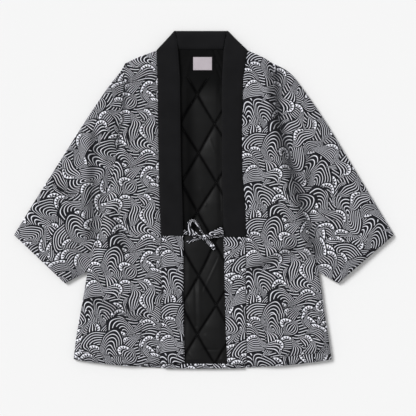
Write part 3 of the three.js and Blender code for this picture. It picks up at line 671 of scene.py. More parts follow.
EVEN = np.linspace(0, 1, 400)
ARM_LINE = {side: spline(side_points(ARMHOLE, side), EVEN) for side in SIDES}
OUTLINE = {}
for side in SIDES:
    seam_up = spline(side_points(SIDE_SEAM, side)[::-1], EVEN)
    OUTLINE[side] = np.vstack([seam_up[:-1], ARM_LINE[side][::-1]])
    OUTLINE[side][:, 0] -= SIGN[side] * GAP / 2
print("armhole", round(float(np.ptp(ARM_LINE[RIGHT][:, 1]))), "mm deep")

# %% [markdown]
# ## A grid between four edges
#
# A cloth panel with four curved sides can be filled by a Coons patch: it blends each pair of opposite
# edges and takes away what is counted twice at the corners. That gives rows and columns of points that
# follow the grain of the cloth. The points stand closer together near the edges, where the wadding
# rounds over, and are even elsewhere. A subdivision surface on a few hand-placed faces would also round
# the edges, but it would pull the outline in, and the outline is what has to fit its neighbours.


# %% Stations and the patch
def stations(length, pitch):
    """Fractions from 0 to 1 along an edge of that length, close together near both ends."""
    near = np.array([0, 0.4, 1.1, 2.2, 3.8, 5.8, 8.4])
    count = max(int((length - 24) / pitch), 1)
    middle = np.linspace(12, length - 12, count + 1)
    return np.r_[near, middle, length - near[::-1]] / length


def patch(us, vs, bottom, top, left, right):
    """Rows and columns of points between four edges; each edge is a function of a fraction."""
    u = us[None, :, None]
    v = vs[:, None, None]
    ends = np.array([0.0, 1.0])
    low, high = bottom(ends), top(ends)
    between = (1 - v) * bottom(us)[None] + v * top(us)[None]
    between = between + (1 - u) * left(vs)[:, None] + u * right(vs)[:, None]
    between = between - (1 - u) * (1 - v) * low[0] - u * (1 - v) * low[1]
    return between - (1 - u) * v * high[0] - u * v * high[1]


def smooth(t):
    t = np.clip(t, 0, 1)
    return t * t * (3 - 2 * t)


def round_over(distance, radius):
    """0 at an edge and 1 from that distance on, along a quarter circle."""
    left = 1 - np.clip(distance / radius, 0, 1)
    return np.sqrt(1 - left ** 2)


def rolled(distance, share, radius):
    """That share of the height at an edge, and all of it from the radius on."""
    return share + (1 - share) * round_over(distance, radius)


def gap_to(points, edge):
    """How far each point of a grid is from one of its edges, along its own row or column."""
    return np.linalg.norm(points - edge, axis=2)


def to_border(plan):
    """How far each point of a grid is from the nearest of its four edges."""
    edges = plan[:, :1], plan[:, -1:], plan[:1], plan[-1:]
    return np.minimum.reduce([gap_to(plan, edge) for edge in edges])


print("stations on a 240 mm edge:", len(stations(240, 4)))

# %% [markdown]
# ## Folds, wadding and puckers
#
# Three kinds of unevenness make flat panels read as sewn, padded cloth. Large soft folds are drawn one
# by one, each as a line with a width and a height: a ridge along each armhole, where the front is lifted by
# its seam, and troughs where the sleeves sink. The wadding lies a little thicker here and thinner there:
# a few slow waves in random directions, from a seeded generator so that each run gives the same jacket.
# Along a seam the stitches draw the cloth up, and short puckers run away from it and die out. All of
# them move the points of the mesh, so they show from every side and in the outline; a bump map would not.
#
# The third table says where the cloth lies deep in a fold, and how much shade is painted on its print
# there.

# %% Tables of folds
Fold = namedtuple("Fold", "x1 y1 x2 y2 half rise")
FOLDS = [
    Fold(155, 300, 166, 215, 14, 5.0), Fold(171, 190, 190, 100, 14, 5.5),
    Fold(197, 75, 224, -10, 14, 4.5), Fold(231, -35, 248, -100, 14, 3.5),
    Fold(-180, 300, -190, 215, 13, 4.0), Fold(-194, 190, -202, 110, 13, 4.0),
    Fold(-207, 85, -226, 0, 14, 5.0), Fold(-234, -25, -250, -100, 14, 4.5),
    Fold(-267, 162, -271, 60, 10, -6.2), Fold(-272, 42, -275, -90, 10, -6.2),
    Fold(-289, 150, -292, 60, 12, 3.5), Fold(-294, 38, -298, -80, 12, 3.5),
    Fold(-358, 40, -318, 14, 12, -5.0), Fold(262, 118, 256, 20, 11, -5.0),
    Fold(262, -6, 292, -120, 11, -5.5), Fold(284, 93, 330, 93, 10, -1.5),
    Fold(120, -176, 218, -127, 13, -5.5), Fold(116, -150, 206, -102, 14, 3.0),
    Fold(-212, -30, -192, -125, 13, -5.5), Fold(-234, -34, -214, -120, 12, 2.5),
    Fold(-270, -245, -160, -292, 12, -5.0), Fold(-262, -220, -156, -266, 12, 2.5),
    Fold(196, -258, 226, -276, 10, -3.5), Fold(128, 60, 150, 10, 12, -3.5),
]
CREASES = [
    Fold(-280, -165, -232, -118, 5, -1.3), Fold(-282, -172, -226, -158, 6, -1.0),
    Fold(-290, -150, -312, -96, 6, -1.3), Fold(-296, -160, -345, -128, 7, -1.0),
    Fold(276, -165, 224, -120, 5, -1.3), Fold(276, -174, 226, -196, 7, -1.0),
    Fold(288, -150, 306, -92, 6, -1.3), Fold(292, -160, 340, -132, 7, -1.1),
    Fold(-236, 262, -214, 214, 7, -1.2), Fold(-330, 92, -308, 30, 9, -1.2),
    Fold(-398, -20, -352, -72, 10, -1.2), Fold(-352, -30, -330, -110, 8, 1.0),
    Fold(222, 276, 214, 196, 8, -1.3), Fold(318, 122, 268, 62, 9, -1.1),
    Fold(386, -8, 352, -88, 10, -1.2), Fold(330, 20, 318, -62, 8, 1.0),
    Fold(-150, 300, -168, 226, 10, 0.9), Fold(-140, -220, -172, -344, 14, 1.0),
    Fold(136, 262, 128, 180, 10, 0.9), Fold(150, -250, 190, -352, 16, 1.0),
    Fold(248, -226, 262, -338, 10, -1.1), Fold(-240, -196, -262, -262, 8, -1.0),
    Fold(-128, 60, -160, -20, 12, 0.9), Fold(140, 60, 168, -10, 12, 0.9),
]
# In this table the last number is the share of the print's white that is painted over as shade along the
# line
SHADED = [
    Fold(177, 316, 181, 215, 13, 0.76), Fold(183, 195, 210, 97, 13, 0.72),
    Fold(216, 76, 238, 0, 14, 0.72), Fold(244, -22, 275, -125, 14, 0.50),
    Fold(260, 118, 253, 50, 10, 0.42), Fold(-186, 300, -214, 130, 7, 0.60),
    Fold(-267, 162, -274, -90, 9, 0.45), Fold(-205, -60, -192, -125, 14, 0.30),
    Fold(-352, 34, -324, 18, 12, 0.35), Fold(-270, -245, -160, -292, 12, 0.28),
    Fold(124, -170, 214, -122, 14, 0.30), Fold(-146, 196, -136, 160, 10, 0.20),
    Fold(200, -372, 300, -366, 8, 0.25), Fold(196, -258, 226, -276, 10, 0.25),
]
SHADE_LIMIT = 0.8
print(len(FOLDS), "main folds,", len(CREASES), "smaller ones and", len(SHADED), "places in the shade")

# %% [markdown]
# ### Folds, clouds and puckers as functions
#
# A fold is highest along its line and falls off on both sides like a bell curve. Clouds and puckers are
# sums of a few sine waves with random lengths: too few to look like noise, enough not to look regular.
# Each takes a seed, so that two panels differ and each run gives the same ones.


# %% Uneven cloth
def folds(x, y, table):
    """How far these folds lift each point; a trough is negative."""
    rise = np.zeros_like(x)
    for fold in table:
        run = np.array([fold.x2 - fold.x1, fold.y2 - fold.y1], float)
        t = ((x - fold.x1) * run[0] + (y - fold.y1) * run[1]) / (run @ run)
        t = np.clip(t, 0, 1)
        away = np.hypot(x - fold.x1 - t * run[0], y - fold.y1 - t * run[1])
        rise += fold.rise * np.exp(-(away / fold.half) ** 2)
    return rise


def clouds(x, y, size, seed):
    """Slow random waves, about -1 to 1, with hills roughly that far apart."""
    chance = np.random.default_rng(seed)
    total = np.zeros_like(x)
    for _ in range(7):
        heading = chance.uniform(0, math.tau)
        wave = math.tau / (size * chance.uniform(0.7, 1.7))
        across = x * math.cos(heading) + y * math.sin(heading)
        total += np.sin(wave * across + chance.uniform(0, math.tau))
    return total / math.sqrt(7)


def puckers(along, away, reach, pitch, seed):
    """Short ripples that start at a seam and fade over that reach."""
    chance = np.random.default_rng(seed)
    total = np.zeros_like(along)
    for _ in range(5):
        wave = math.tau / (pitch * chance.uniform(0.6, 1.9))
        total += np.sin(wave * along + chance.uniform(0, math.tau) + 0.02 * away)
    return total / math.sqrt(5) * np.exp(-away / reach)


def deep_in_fold(plan):
    """How much painted shade each point of a plan gets in the folds."""
    return np.minimum(folds(plan[..., 0], plan[..., 1], SHADED), SHADE_LIMIT)


def give_depth(piece, depth):
    """Store that painted shade on the piece's upper points, which are its first ones."""
    values = np.zeros(len(piece.data.vertices))
    values[:depth.size] = depth.ravel()
    piece.data.attributes.new(PAINTED_SHADE_NAME, "FLOAT", "POINT").data.foreach_set("value", values)


first = FOLDS[0]
middle = np.array([(first.x1 + first.x2) / 2]), np.array([(first.y1 + first.y2) / 2])
print(f"the first fold lifts its middle by {folds(*middle, [first])[0]:.1f} mm")

# %% [markdown]
# ## From points to a closed piece of cloth
#
# Padded cloth has two faces and an edge, so each panel becomes one closed mesh: an upper grid, a lower
# grid and a strip round the rim. Each point also keeps its place on the flat pattern, stored as a UV map
# in metres. A UV unwrap by Blender would do that too, but it would turn and scale each piece its own way,
# and the print and the weave must keep one scale everywhere.


# %% Mesh builders
def make_piece(name, points, faces, flat, materials, which=None):
    """A named object from points in millimetres, with its flat coordinates as the UV map 'cloth'.

    faces is a list of arrays of point numbers, one array for quads and one for triangles.
    """
    points = np.asarray(points, float) + CENTRING
    if sum(enclosed(points, part) for part in faces) < 0:
        faces = [part[:, ::-1] for part in faces]
    mesh = bpy.data.meshes.new(name)
    mesh.from_pydata(points * MM, [], [face for part in faces for face in part.tolist()])
    for material in materials:
        mesh.materials.append(material)
    if which is not None:
        mesh.polygons.foreach_set("material_index", np.asarray(which, np.int32))
    corners = np.zeros(len(mesh.loops), np.int32)
    mesh.loops.foreach_get("vertex_index", corners)
    cloth = mesh.uv_layers.new(name="cloth")
    cloth.data.foreach_set("uv", (np.asarray(flat, float)[corners] * MM).ravel())
    mesh.shade_smooth()
    mesh.update()
    made = bpy.data.objects.new(name, mesh)
    scene.collection.objects.link(made)
    return made


def enclosed(points, faces):
    """The volume inside a closed mesh, negative if its faces look inwards."""
    total = 0.0
    corners = points[faces]
    for k in range(1, faces.shape[1] - 1):
        a, b, c = corners[:, 0], corners[:, k], corners[:, k + 1]
        total += float((a * np.cross(b, c)).sum()) / 6
    return total


pyramid = np.array([(0, 0, 0), (1, 0, 0), (0, 1, 0), (0, 0, 1)], float)
pyramid_faces = np.array([(0, 2, 1), (0, 1, 3), (0, 3, 2), (1, 2, 3)])
print(f"volume inside a small pyramid: {enclosed(pyramid, pyramid_faces):.3f}")

# %% [markdown]
# ### Panels
#
# A panel has an upper and a lower grid over the same plan, and a wall round the rim. After that a piece
# is told which body it moves with, and the solids it stands for are hidden.


# %% Panels
def rim_of(index):
    """The grid's border, once round."""
    return np.r_[index[0, :-1], index[:-1, -1], index[-1, :0:-1], index[:0:-1, 0]]


def quads(index):
    """The faces of a grid of point numbers."""
    corners = index[:-1, :-1], index[:-1, 1:], index[1:, 1:], index[1:, :-1]
    return np.stack([c.ravel() for c in corners], axis=1)


def panel(name, plan, upper, lower, flat, materials):
    """A closed panel: plan is rows and columns of x and y, upper and lower its heights."""
    rows, columns = plan.shape[:2]
    top = np.arange(rows * columns).reshape(rows, columns)
    bottom = top + rows * columns
    points = np.vstack([
        np.c_[plan.reshape(-1, 2), np.broadcast_to(upper, (rows, columns)).ravel()],
        np.c_[plan.reshape(-1, 2), np.broadcast_to(lower, (rows, columns)).ravel()],
    ])
    border, under = rim_of(top), rim_of(bottom)
    walls = np.stack([under, np.roll(under, -1), np.roll(border, -1), border], axis=1)
    faces = np.vstack([quads(top), quads(bottom)[:, ::-1], walls])
    doubled = np.vstack([flat.reshape(-1, 2)] * 2)
    return make_piece(name, points, [faces], doubled, materials)


def dress(piece, nodes):
    """The piece moves with the jacket, and the solids it stands for are hidden."""
    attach(piece, "root")
    if nodes:
        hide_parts(*nodes)
    sides = sum(len(face.vertices) - 2 for face in piece.data.polygons)
    size = [round(float(d) / MM) for d in piece.dimensions]
    print(f"{piece.name}: {sides} triangles, {size} mm")
    return piece


def cut_area(plan):
    """The flat area of a panel's grid, in square metres."""
    rows = np.diff(plan, axis=0)[:, :-1]
    columns = np.diff(plan, axis=1)[:-1]
    cross = rows[..., 0] * columns[..., 1] - rows[..., 1] * columns[..., 0]
    return float(np.abs(cross).sum()) * MM * MM


print("a grid of 3 by 3 points has", len(quads(np.arange(9).reshape(3, 3))), "faces")

# %% [markdown]
# ## Back
#
# The back is one straight panel, print outside and lining inside, with wadding between. It lies flat on
# the floor, so its underside is plane; only its edges curl up a little, as a padded edge does. From above
# it shows at the hem, where it hangs a few millimetres lower than the fronts, and in the side view as the
# lower of two soft edges.

# %% The back panel
BACK_THICK = 6
FRONT_BASE = BACK_THICK + GAP
EDGE_CURL = 2.2
EDGE_DROP = 1.6
EDGE_RADIUS = 9
BACK_PITCH = 7
BACK_SHIFT = (330, 470)


def outline_at(side, v):
    """The side edge, from the hem corner at 0 to the shoulder at 1, by height."""
    line = OUTLINE[side]
    y = line[0, 1] + v * (line[-1, 1] - line[0, 1])
    return np.stack([np.interp(y, line[:, 1], line[:, 0]), y], axis=-1)


def back_hem(u):
    x = OUTLINE[LEFT][0, 0] + u * (OUTLINE[RIGHT][0, 0] - OUTLINE[LEFT][0, 0])
    return np.stack([x, hem_y(x)], axis=-1)


def back_neck(u):
    left = spline(side_points(SHOULDER, LEFT), EVEN)
    right = spline(side_points(SHOULDER, RIGHT), EVEN)[::-1]
    neck = [(collar_x(INNER[LEFT], NECKLINE), NECKLINE), (collar_x(INNER[RIGHT], NECKLINE), NECKLINE)]
    line = np.vstack([left, neck, right])
    line[0, 0], line[-1, 0] = OUTLINE[LEFT][-1, 0], OUTLINE[RIGHT][-1, 0]
    x = line[0, 0] + u * (line[-1, 0] - line[0, 0])
    return np.stack([x, np.interp(x, line[:, 0], line[:, 1])], axis=-1)


def back_panel():
    us, vs = stations(600, BACK_PITCH), stations(740, BACK_PITCH)
    plan = patch(us, vs, back_hem, back_neck, lambda v: outline_at(LEFT, v), lambda v: outline_at(RIGHT, v))
    at_edge = 1 - round_over(to_border(plan), EDGE_RADIUS)
    upper = BACK_THICK - EDGE_DROP * at_edge
    lower = EDGE_CURL * at_edge ** 1.5
    piece = panel("back_cloth", plan, upper, lower, plan + BACK_SHIFT, [PRINT])
    return dress(piece, ["back_body"]), cut_area(plan)


back, back_area = back_panel()

# %% [markdown]
# ## Fronts
#
# Each front reaches from the side seam to the collar seam, and from the hem to the shoulder. It shares
# its side edge with the back, and its inner edge follows the outer edge of the collar. Its hem rises a
# little towards the collar. Four functions give the four edges, and the patch fills them.


# %% Edges of a front
def front_inner(side, v):
    """The edge under the collar seam."""
    low = COLLAR_HEM[side] - 4
    y = low + v * (SHOULDER[-1][0] - 1 - low)
    return np.stack([collar_x(OUTER[side], y) + SIGN[side] * GAP, y], axis=-1)


def front_hem(side, u):
    corner = OUTLINE[side][0, 0]
    inner = front_inner(side, np.array([0.0]))[0]
    x = corner + u * (inner[0] - corner)
    lift = inner[1] - hem_y(inner[0])
    return np.stack([x, hem_y(x) + lift * smooth((u - 0.6) / 0.4)], axis=-1)


def front_shoulder(side, u):
    inner = front_inner(side, np.array([1.0]))[0]
    return spline([OUTLINE[side][-1], (SHOULDER[1][1 + side], SHOULDER[1][0]), inner], u)


def front_plan(side, us, vs):
    return patch(
        us, vs, lambda u: front_hem(side, u), lambda u: front_shoulder(side, u),
        lambda v: outline_at(side, v), lambda v: front_inner(side, v))


corners = front_plan(LEFT, np.array([0.0, 1.0]), np.array([0.0, 1.0])).round()
print("corners of the left front, in mm:", corners.tolist())

# %% [markdown]
# ### The height of a front
#
# A front is the thickest panel: print, wadding and its own lining, folded over at the hem. Its height is
# one number shaped by four round-overs, one for each edge, then the folds and puckers are added. The side
# seam and the hem are soft rolls, and the collar seam stays high, because the collar is sewn on there.
# Beside the sleeve the front slopes down more gently, because the armhole seam pulls the wadding flat.

# %% Front panels
FRONT_THICK = 9.2
FRONT_LEAST = 1.5
FRONT_PITCH = 4.2
FRONT_SHIFT = {LEFT: (512, 268), RIGHT: (121, 402)}
# At each edge: the share of the height that is left there, and how far the edge reaches inwards
FRONT_SIDE = (0.30, 15)
FRONT_COLLAR = (0.70, 13)
FRONT_HEM = (0.22, 12)
FRONT_SHOULDER = (0.25, 26)
FRONT_ARMHOLE = (0.12, 24)
ARMHOLE_FOOT = -190


def front_height(side, plan, us, vs):
    """The upper face of a front at each point of a plan made from these fractions."""
    x, y = plan[..., 0], plan[..., 1]
    to_side = gap_to(plan, outline_at(side, vs)[:, None])
    to_collar = gap_to(plan, front_inner(side, vs)[:, None])
    to_hem = gap_to(plan, front_hem(side, us)[None])
    to_shoulder = gap_to(plan, front_shoulder(side, us)[None])
    share, reach = FRONT_ARMHOLE
    at_armhole = share + (1 - share) * smooth(to_side / reach)
    beside_sleeve = smooth((y - ARMHOLE_FOOT) / 60)
    at_side = rolled(to_side, *FRONT_SIDE) * (1 - beside_sleeve) + at_armhole * beside_sleeve
    form = at_side * rolled(to_hem, *FRONT_HEM) * rolled(to_shoulder, *FRONT_SHOULDER)
    height = FRONT_THICK * form * rolled(to_collar, *FRONT_COLLAR)
    height = height + (folds(x, y, FOLDS) + folds(x, y, CREASES)) * form
    height = height + 0.45 * clouds(x, y, size=95, seed=11 + side) * form
    height = height + 0.55 * puckers(y, to_side, reach=16, pitch=15, seed=21 + side) * form
    height = height + 0.35 * puckers(y, to_collar, reach=12, pitch=17, seed=31 + side)
    height = height + 0.45 * puckers(x, to_hem, reach=14, pitch=18, seed=41 + side) * form
    return FRONT_BASE + np.maximum(height, FRONT_LEAST)


def front(side):
    us, vs = stations(200, FRONT_PITCH), stations(745, FRONT_PITCH)
    plan = front_plan(side, us, vs)
    upper = front_height(side, plan, us, vs)
    piece = panel(f"front_{SIDES[side]}_cloth", plan, upper, FRONT_BASE, plan + FRONT_SHIFT[side], [PRINT])
    give_depth(piece, deep_in_fold(plan))
    return dress(piece, [f"front_{SIDES[side]}"]), cut_area(plan)


fronts = {side: front(side) for side in SIDES}

# %% [markdown]
# ## Patch pockets
#
# A pocket is a second layer of the same print on the lower part of each front. It is made from the
# front's own surface, moved out by a hair, so that it follows every fold beneath. The maker matched the
# print, but not perfectly: the pattern jumps by a few millimetres, and that jump is what gives a pocket
# away. The upper edge is a little thicker, where the cloth is turned in.

# %% Pockets
POCKET_THICK = 1.6
POCKET_COLUMNS = (0.06, 0.77)
POCKET_SEAM = (0.1, 0.57)
POCKET_JUMP = {LEFT: (3, -4), RIGHT: (-3, 3)}
TURN_IN = 5


def pocket(side):
    line = spline(side_points(SIDE_SEAM, side)[::-1], POCKET_SEAM)
    outline = OUTLINE[side]
    low, high = (line[:, 1] - outline[0, 1]) / (outline[-1, 1] - outline[0, 1])
    us = POCKET_COLUMNS[0] + stations(150, 5) * (POCKET_COLUMNS[1] - POCKET_COLUMNS[0])
    vs = low + stations(115, 5) * (high - low)
    plan = front_plan(side, us, vs)
    surface = front_height(side, plan, us, vs) + GAP
    edges = [gap_to(plan, plan[:, :1]), gap_to(plan, plan[:, -1:]), gap_to(plan, plan[:1])]
    sewn = np.minimum.reduce(edges)
    opening = gap_to(plan, plan[-1:])
    thick = POCKET_THICK * rolled(np.minimum(sewn, opening), 0.45, 3)
    thick = thick + 0.5 * smooth(1 - np.abs(opening - TURN_IN) / 6)
    flat = plan + FRONT_SHIFT[side] + POCKET_JUMP[side]
    piece = panel(f"pocket_{SIDES[side]}_cloth", plan, surface + thick, surface, flat, [PRINT])
    give_depth(piece, deep_in_fold(plan))
    return dress(piece, [f"pocket_{SIDES[side]}"]), cut_area(plan), plan, surface + thick


pockets = {side: pocket(side) for side in SIDES}

# %% [markdown]
# ## Sleeves
#
# A sleeve is one piece of cloth folded along its upper edge and sewn below, so it is a flat tube: an
# outer surface, an inner one and a thin slit of air between its two layers, open at the cuff. Each ring
# round the tube has its upper half, its lower half and the same again inside. The sleeve slopes down from
# the shoulder, and its print was cut with it, so the pattern is turned with the sleeve and runs on
# round the fold to the underside. The facing just inside the cuff is print, and behind it is lining.

# %% Edges and print of a sleeve
SLEEVE_THICK = 14.5
SLEEVE_MIDDLE = 0.43 * SLEEVE_THICK
SLEEVE_WALL = 5
ARMHOLE_SLIT = 1
CUFF_SLIT = 4
CUFF_FACING = 30
SLEEVE_EDGE = (0.10, 16)
SLEEVE_SEAM = (0.16, 60)
SLEEVE_CUFF = (0.30, 11)
PRINT_TURN = {LEFT: 44, RIGHT: -48}
PRINT_SHIFT = {LEFT: (655, 330), RIGHT: (402, 511)}


def sleeve_edges(side):
    """The sleeve's fold, its underarm edge, the armhole seam and the cuff, as functions of a fraction."""
    seam = ARM_LINE[side] + (SIGN[side] * GAP / 2, 0)
    fold = np.array(side_points(SLEEVE_FOLD, side), float)
    fold[0] = seam[0]
    corner = np.array([CUFF_CORNER[1 + side], CUFF_CORNER[0]], float)

    def straight(a, b, t):
        return a + (b - a) * np.asarray(t)[:, None]

    return (
        lambda t: spline(fold, t),
        lambda t: straight(seam[-1], corner, t),
        lambda t: np.stack([np.interp(t, EVEN, seam[:, 0]), np.interp(t, EVEN, seam[:, 1])], axis=1),
        lambda t: straight(fold[-1], corner, t),
        fold,
    )


def sleeve_flat(side, plan, fold, under):
    """Where each point lies on the print; the underside is the upper side folded over."""
    start = fold[0]
    run = (fold[-1] - start) / np.linalg.norm(fold[-1] - start)
    across = np.array([-run[1], run[0]])
    from_start = plan - start
    s, t = from_start @ run, from_start @ across
    if under:
        t = -t
    spread = s[..., None] * run + t[..., None] * across
    turn = math.radians(-PRINT_TURN[side])
    back_turn = np.array([[math.cos(turn), -math.sin(turn)], [math.sin(turn), math.cos(turn)]])
    return spread @ back_turn.T + PRINT_SHIFT[side]


print("the print is turned with the sleeves by", PRINT_TURN, "degrees")

# %% [markdown]
# ### The height of a sleeve
#
# Seen in section, a sleeve is a flat bag. Its upper half rises from the fold, the armhole and the cuff,
# each with its own softness, and then gets the folds, the clouds and the puckers. Its lower half is nearly
# plane, because it lies on the floor. Between them stays a slit of air that opens towards the cuff.


# %% Upper half, lower half and slit
def sleeve_heights(side, plan, along, around):
    """Heights of the upper and lower halves, half the height of the slit, and the way to the cuff."""
    x, y = plan[..., 0], plan[..., 1]
    to_fold, to_under = gap_to(plan, plan[:1]), gap_to(plan, plan[-1:])
    to_edge = np.minimum(to_fold, to_under)
    to_seam, to_cuff = gap_to(plan, plan[:, :1]), gap_to(plan, plan[:, -1:])
    slit = ARMHOLE_SLIT + (CUFF_SLIT - ARMHOLE_SLIT) * smooth((along[None] - 0.7) / 0.3)
    half = slit / 2 * np.sqrt(np.sin(math.pi * (0.06 + 0.88 * around[:, None])))
    share, reach = SLEEVE_SEAM
    at_seam = share + (1 - share) * smooth(to_seam / reach)
    at_cuff = rolled(to_cuff, *SLEEVE_CUFF)
    form = rolled(to_edge, *SLEEVE_EDGE) * at_seam * at_cuff
    upper = (SLEEVE_THICK - SLEEVE_MIDDLE + folds(x, y, FOLDS) + folds(x, y, CREASES)) * form
    upper = upper + 0.5 * clouds(x, y, size=90, seed=51 + side) * form
    upper = upper + 0.7 * puckers(y, to_seam, reach=18, pitch=16, seed=61 + side) * form
    upper = upper + 0.5 * puckers(x + y, to_under, reach=15, pitch=17, seed=71 + side) * form
    upper = upper + 0.4 * puckers(y - x, to_cuff, reach=13, pitch=16, seed=81 + side) * form
    upper = SLEEVE_MIDDLE + np.maximum(upper, half + 1.2 * at_cuff)
    lower = SLEEVE_MIDDLE * 0.82 * (1 - round_over(to_edge, 14))
    return upper, np.maximum(lower, 2.6 * (1 - round_over(to_cuff, 9))), half, to_cuff


print("thickest part of a sleeve:", SLEEVE_THICK, "mm")

# %% [markdown]
# ### The sleeve as a tube
#
# The outer surface is a set of rings, each over the top and back below. The inner surface is the same set
# of rings, drawn in from both edges by the thickness of the wall. Two strips of faces join them, one at
# the armhole and one at the cuff, and the mesh is closed.


# %% Sleeve meshes
def loops(plan, upper, lower):
    """Rows of points once round a flat tube: over the top, then back below."""
    over = np.dstack([plan, np.broadcast_to(upper, plan.shape[:2])])
    below = np.dstack([plan, np.broadcast_to(lower, plan.shape[:2])])
    return np.concatenate([over, below[::-1]])


def drawn_in(plan, around):
    """The plan of the inner surface, a wall's thickness inside both edges."""
    length = np.linalg.norm(plan[0] - plan[-1], axis=1)[None]
    nearer = np.minimum(around, 1 - around)[:, None]
    inset = np.maximum(SLEEVE_WALL / length - nearer / 2, 0)
    wanted = around[:, None] + np.sign(0.5 - around[:, None]) * inset
    hollow = np.empty_like(plan)
    for column in range(plan.shape[1]):
        for axis in (0, 1):
            hollow[:, column, axis] = np.interp(wanted[:, column], around, plan[:, column, axis])
    return hollow


def sleeve(side):
    fold_edge, under_edge, seam_edge, cuff_edge, fold = sleeve_edges(side)
    along, around = stations(430, 4.4), stations(330, 4.4)
    plan = patch(along, around, fold_edge, under_edge, seam_edge, cuff_edge)
    upper, lower, half, to_cuff = sleeve_heights(side, plan, along, around)
    outer = loops(plan, upper, lower)
    inner = loops(drawn_in(plan, around), SLEEVE_MIDDLE + half, SLEEVE_MIDDLE - half)
    over, under = sleeve_flat(side, plan, fold, False), sleeve_flat(side, plan, fold, True)
    flat = np.concatenate([over, under[::-1]])
    count, rings = outer.shape[:2]
    out = np.arange(count * rings).reshape(count, rings)
    out = np.vstack([out, out[:1]])
    into = out + count * rings
    mouths = (out[:, 0], into[:, 0]), (out[::-1, -1], into[::-1, -1])
    strips = [np.stack([o[:-1], o[1:], i[1:], i[:-1]], axis=1) for o, i in mouths]
    faces = np.vstack([quads(out)[:, ::-1], quads(into), *strips])
    lined = np.zeros(len(faces), int)
    reach = np.vstack([to_cuff, to_cuff[::-1]])
    lined[len(quads(out)):len(quads(out)) * 2] = (reach[:, :-1] > CUFF_FACING).ravel()
    points = np.vstack([outer.reshape(-1, 3), inner.reshape(-1, 3)])
    doubled = np.vstack([flat.reshape(-1, 2)] * 2)
    name = f"sleeve_{SIDES[side]}"
    piece = make_piece(f"{name}_cloth", points, [faces], doubled, [PRINT, SATIN], lined)
    give_depth(piece, deep_in_fold(plan))
    return dress(piece, [name]), 2 * cut_area(plan), plan, upper


sleeves = {side: sleeve(side) for side in SIDES}

# %% [markdown]
# ## Collar
#
# The collar is a long flat strip folded over a core. It runs round the neck and down both fronts to the
# hem. The strip itself is print; over its upper part, which touches the neck, a second strip of black
# cotton is sewn and can be taken off to wash. The two lie one above the other, so the black one is a
# little thicker. Above the neckline the strip bends down behind the neck, and its inner side shows as a
# black bar at the top.

# %% Collar bands
LINING_THICK = 2.2
LINING_TOP = FRONT_BASE + LINING_THICK
QUILT_UNDER_COLLAR = 1.7
COLLAR_BASE = LINING_TOP + QUILT_UNDER_COLLAR + GAP
COLLAR_THICK = 5
OVER_COLLAR_EXTRA = 1.1
GROOVE_DEPTH = 0.45
GROOVE_PLACE = 4.5
COLLAR_SHIFT = {LEFT: (330, 610), RIGHT: (560, 700)}


def band_base(y):
    return COLLAR_BASE * (1 - 0.75 * smooth((y - NECKLINE - 1) / (TOP - NECKLINE)))


def band_height(plan, thick, seed):
    x, y = plan[..., 0], plan[..., 1]
    across = np.minimum(gap_to(plan, plan[:, :1]), gap_to(plan, plan[:, -1:]))
    ends = np.minimum(gap_to(plan, plan[:1]), gap_to(plan, plan[-1:]))
    form = rolled(across, 0.32, 7) * rolled(ends, 0.5, 6)
    groove = GROOVE_DEPTH * np.exp(-((across - GROOVE_PLACE) / 1.2) ** 2)
    swell = 0.35 * clouds(x, y, size=70, seed=seed)
    swell = swell + 0.22 * puckers(y, across, reach=7, pitch=11, seed=seed + 1)
    return band_base(y) + thick * form - groove + swell * form


def band(name, side, low, high, thick, material, seed):
    us, vs = stations(56, 4), stations(high - low, 4.5)
    y = low + vs * (high - low)
    edges = np.sort(np.stack([collar_x(OUTER[side], y), collar_x(INNER[side], y)], axis=1), axis=1)
    x = edges[:, :1] + us[None] * (edges[:, 1:] - edges[:, :1])
    plan = np.dstack([x, np.broadcast_to(y[:, None], x.shape)])
    upper = band_height(plan, thick, seed)
    piece = panel(name, plan, upper, band_base(plan[..., 1]), plan + COLLAR_SHIFT[side], [material])
    return piece, plan, upper


over_collar = {}
lower_collar = {}
for side in SIDES:
    end = OVER_COLLAR_END[side]
    name = f"over_collar_{SIDES[side]}"
    thick = COLLAR_THICK + OVER_COLLAR_EXTRA
    over_collar[side] = band(f"{name}_cloth", side, end, TOP, thick, BLACK, 91 + side)
    dress(over_collar[side][0], [name])
    name = f"lower_collar_{SIDES[side]}"
    low = COLLAR_HEM[side]
    lower_collar[side] = band(f"{name}_cloth", side, low, end - GAP, COLLAR_THICK, PRINT, 95 + side)
    dress(lower_collar[side][0], [name])

# %% [markdown]
# ### Behind the neck
#
# Between the two bands the collar stands up against the back of the neck. Laid flat, it shows as a black
# bar, highest at its middle and rounded over at the top. It meets the bands in two slanting seams, which
# is how one straight strip is turned round a corner.


# %% The collar behind the neck
NECK_COLLAR_THICK = 12


def back_collar():
    vs, us = stations(45, 4), stations(125, 4)
    y = NECKLINE + GAP + vs * (TOP - NECKLINE - GAP)
    left, right = collar_x(INNER[LEFT], y) + GAP, collar_x(INNER[RIGHT], y) - GAP
    x = left[:, None] + us[None] * (right - left)[:, None]
    plan = np.dstack([x, np.broadcast_to(y[:, None], x.shape)])
    x, y = plan[..., 0], plan[..., 1]
    to_sides = np.minimum(gap_to(plan, plan[:, :1]), gap_to(plan, plan[:, -1:]))
    form = rolled(TOP - y, 0.30, 13) * rolled(y - NECKLINE, 0.66, 9) * rolled(to_sides, 0.80, 6)
    upper = NECK_COLLAR_THICK * form + 0.3 * clouds(x, y, size=60, seed=99)
    upper = upper + 0.3 * puckers(x, y - NECKLINE, reach=9, pitch=12, seed=98)
    piece = panel("over_collar_back_cloth", plan, upper, 0.0, plan + (200, 200), [BLACK])
    return dress(piece, ["over_collar_back"]), cut_area(plan)


neck_collar, neck_area = back_collar()

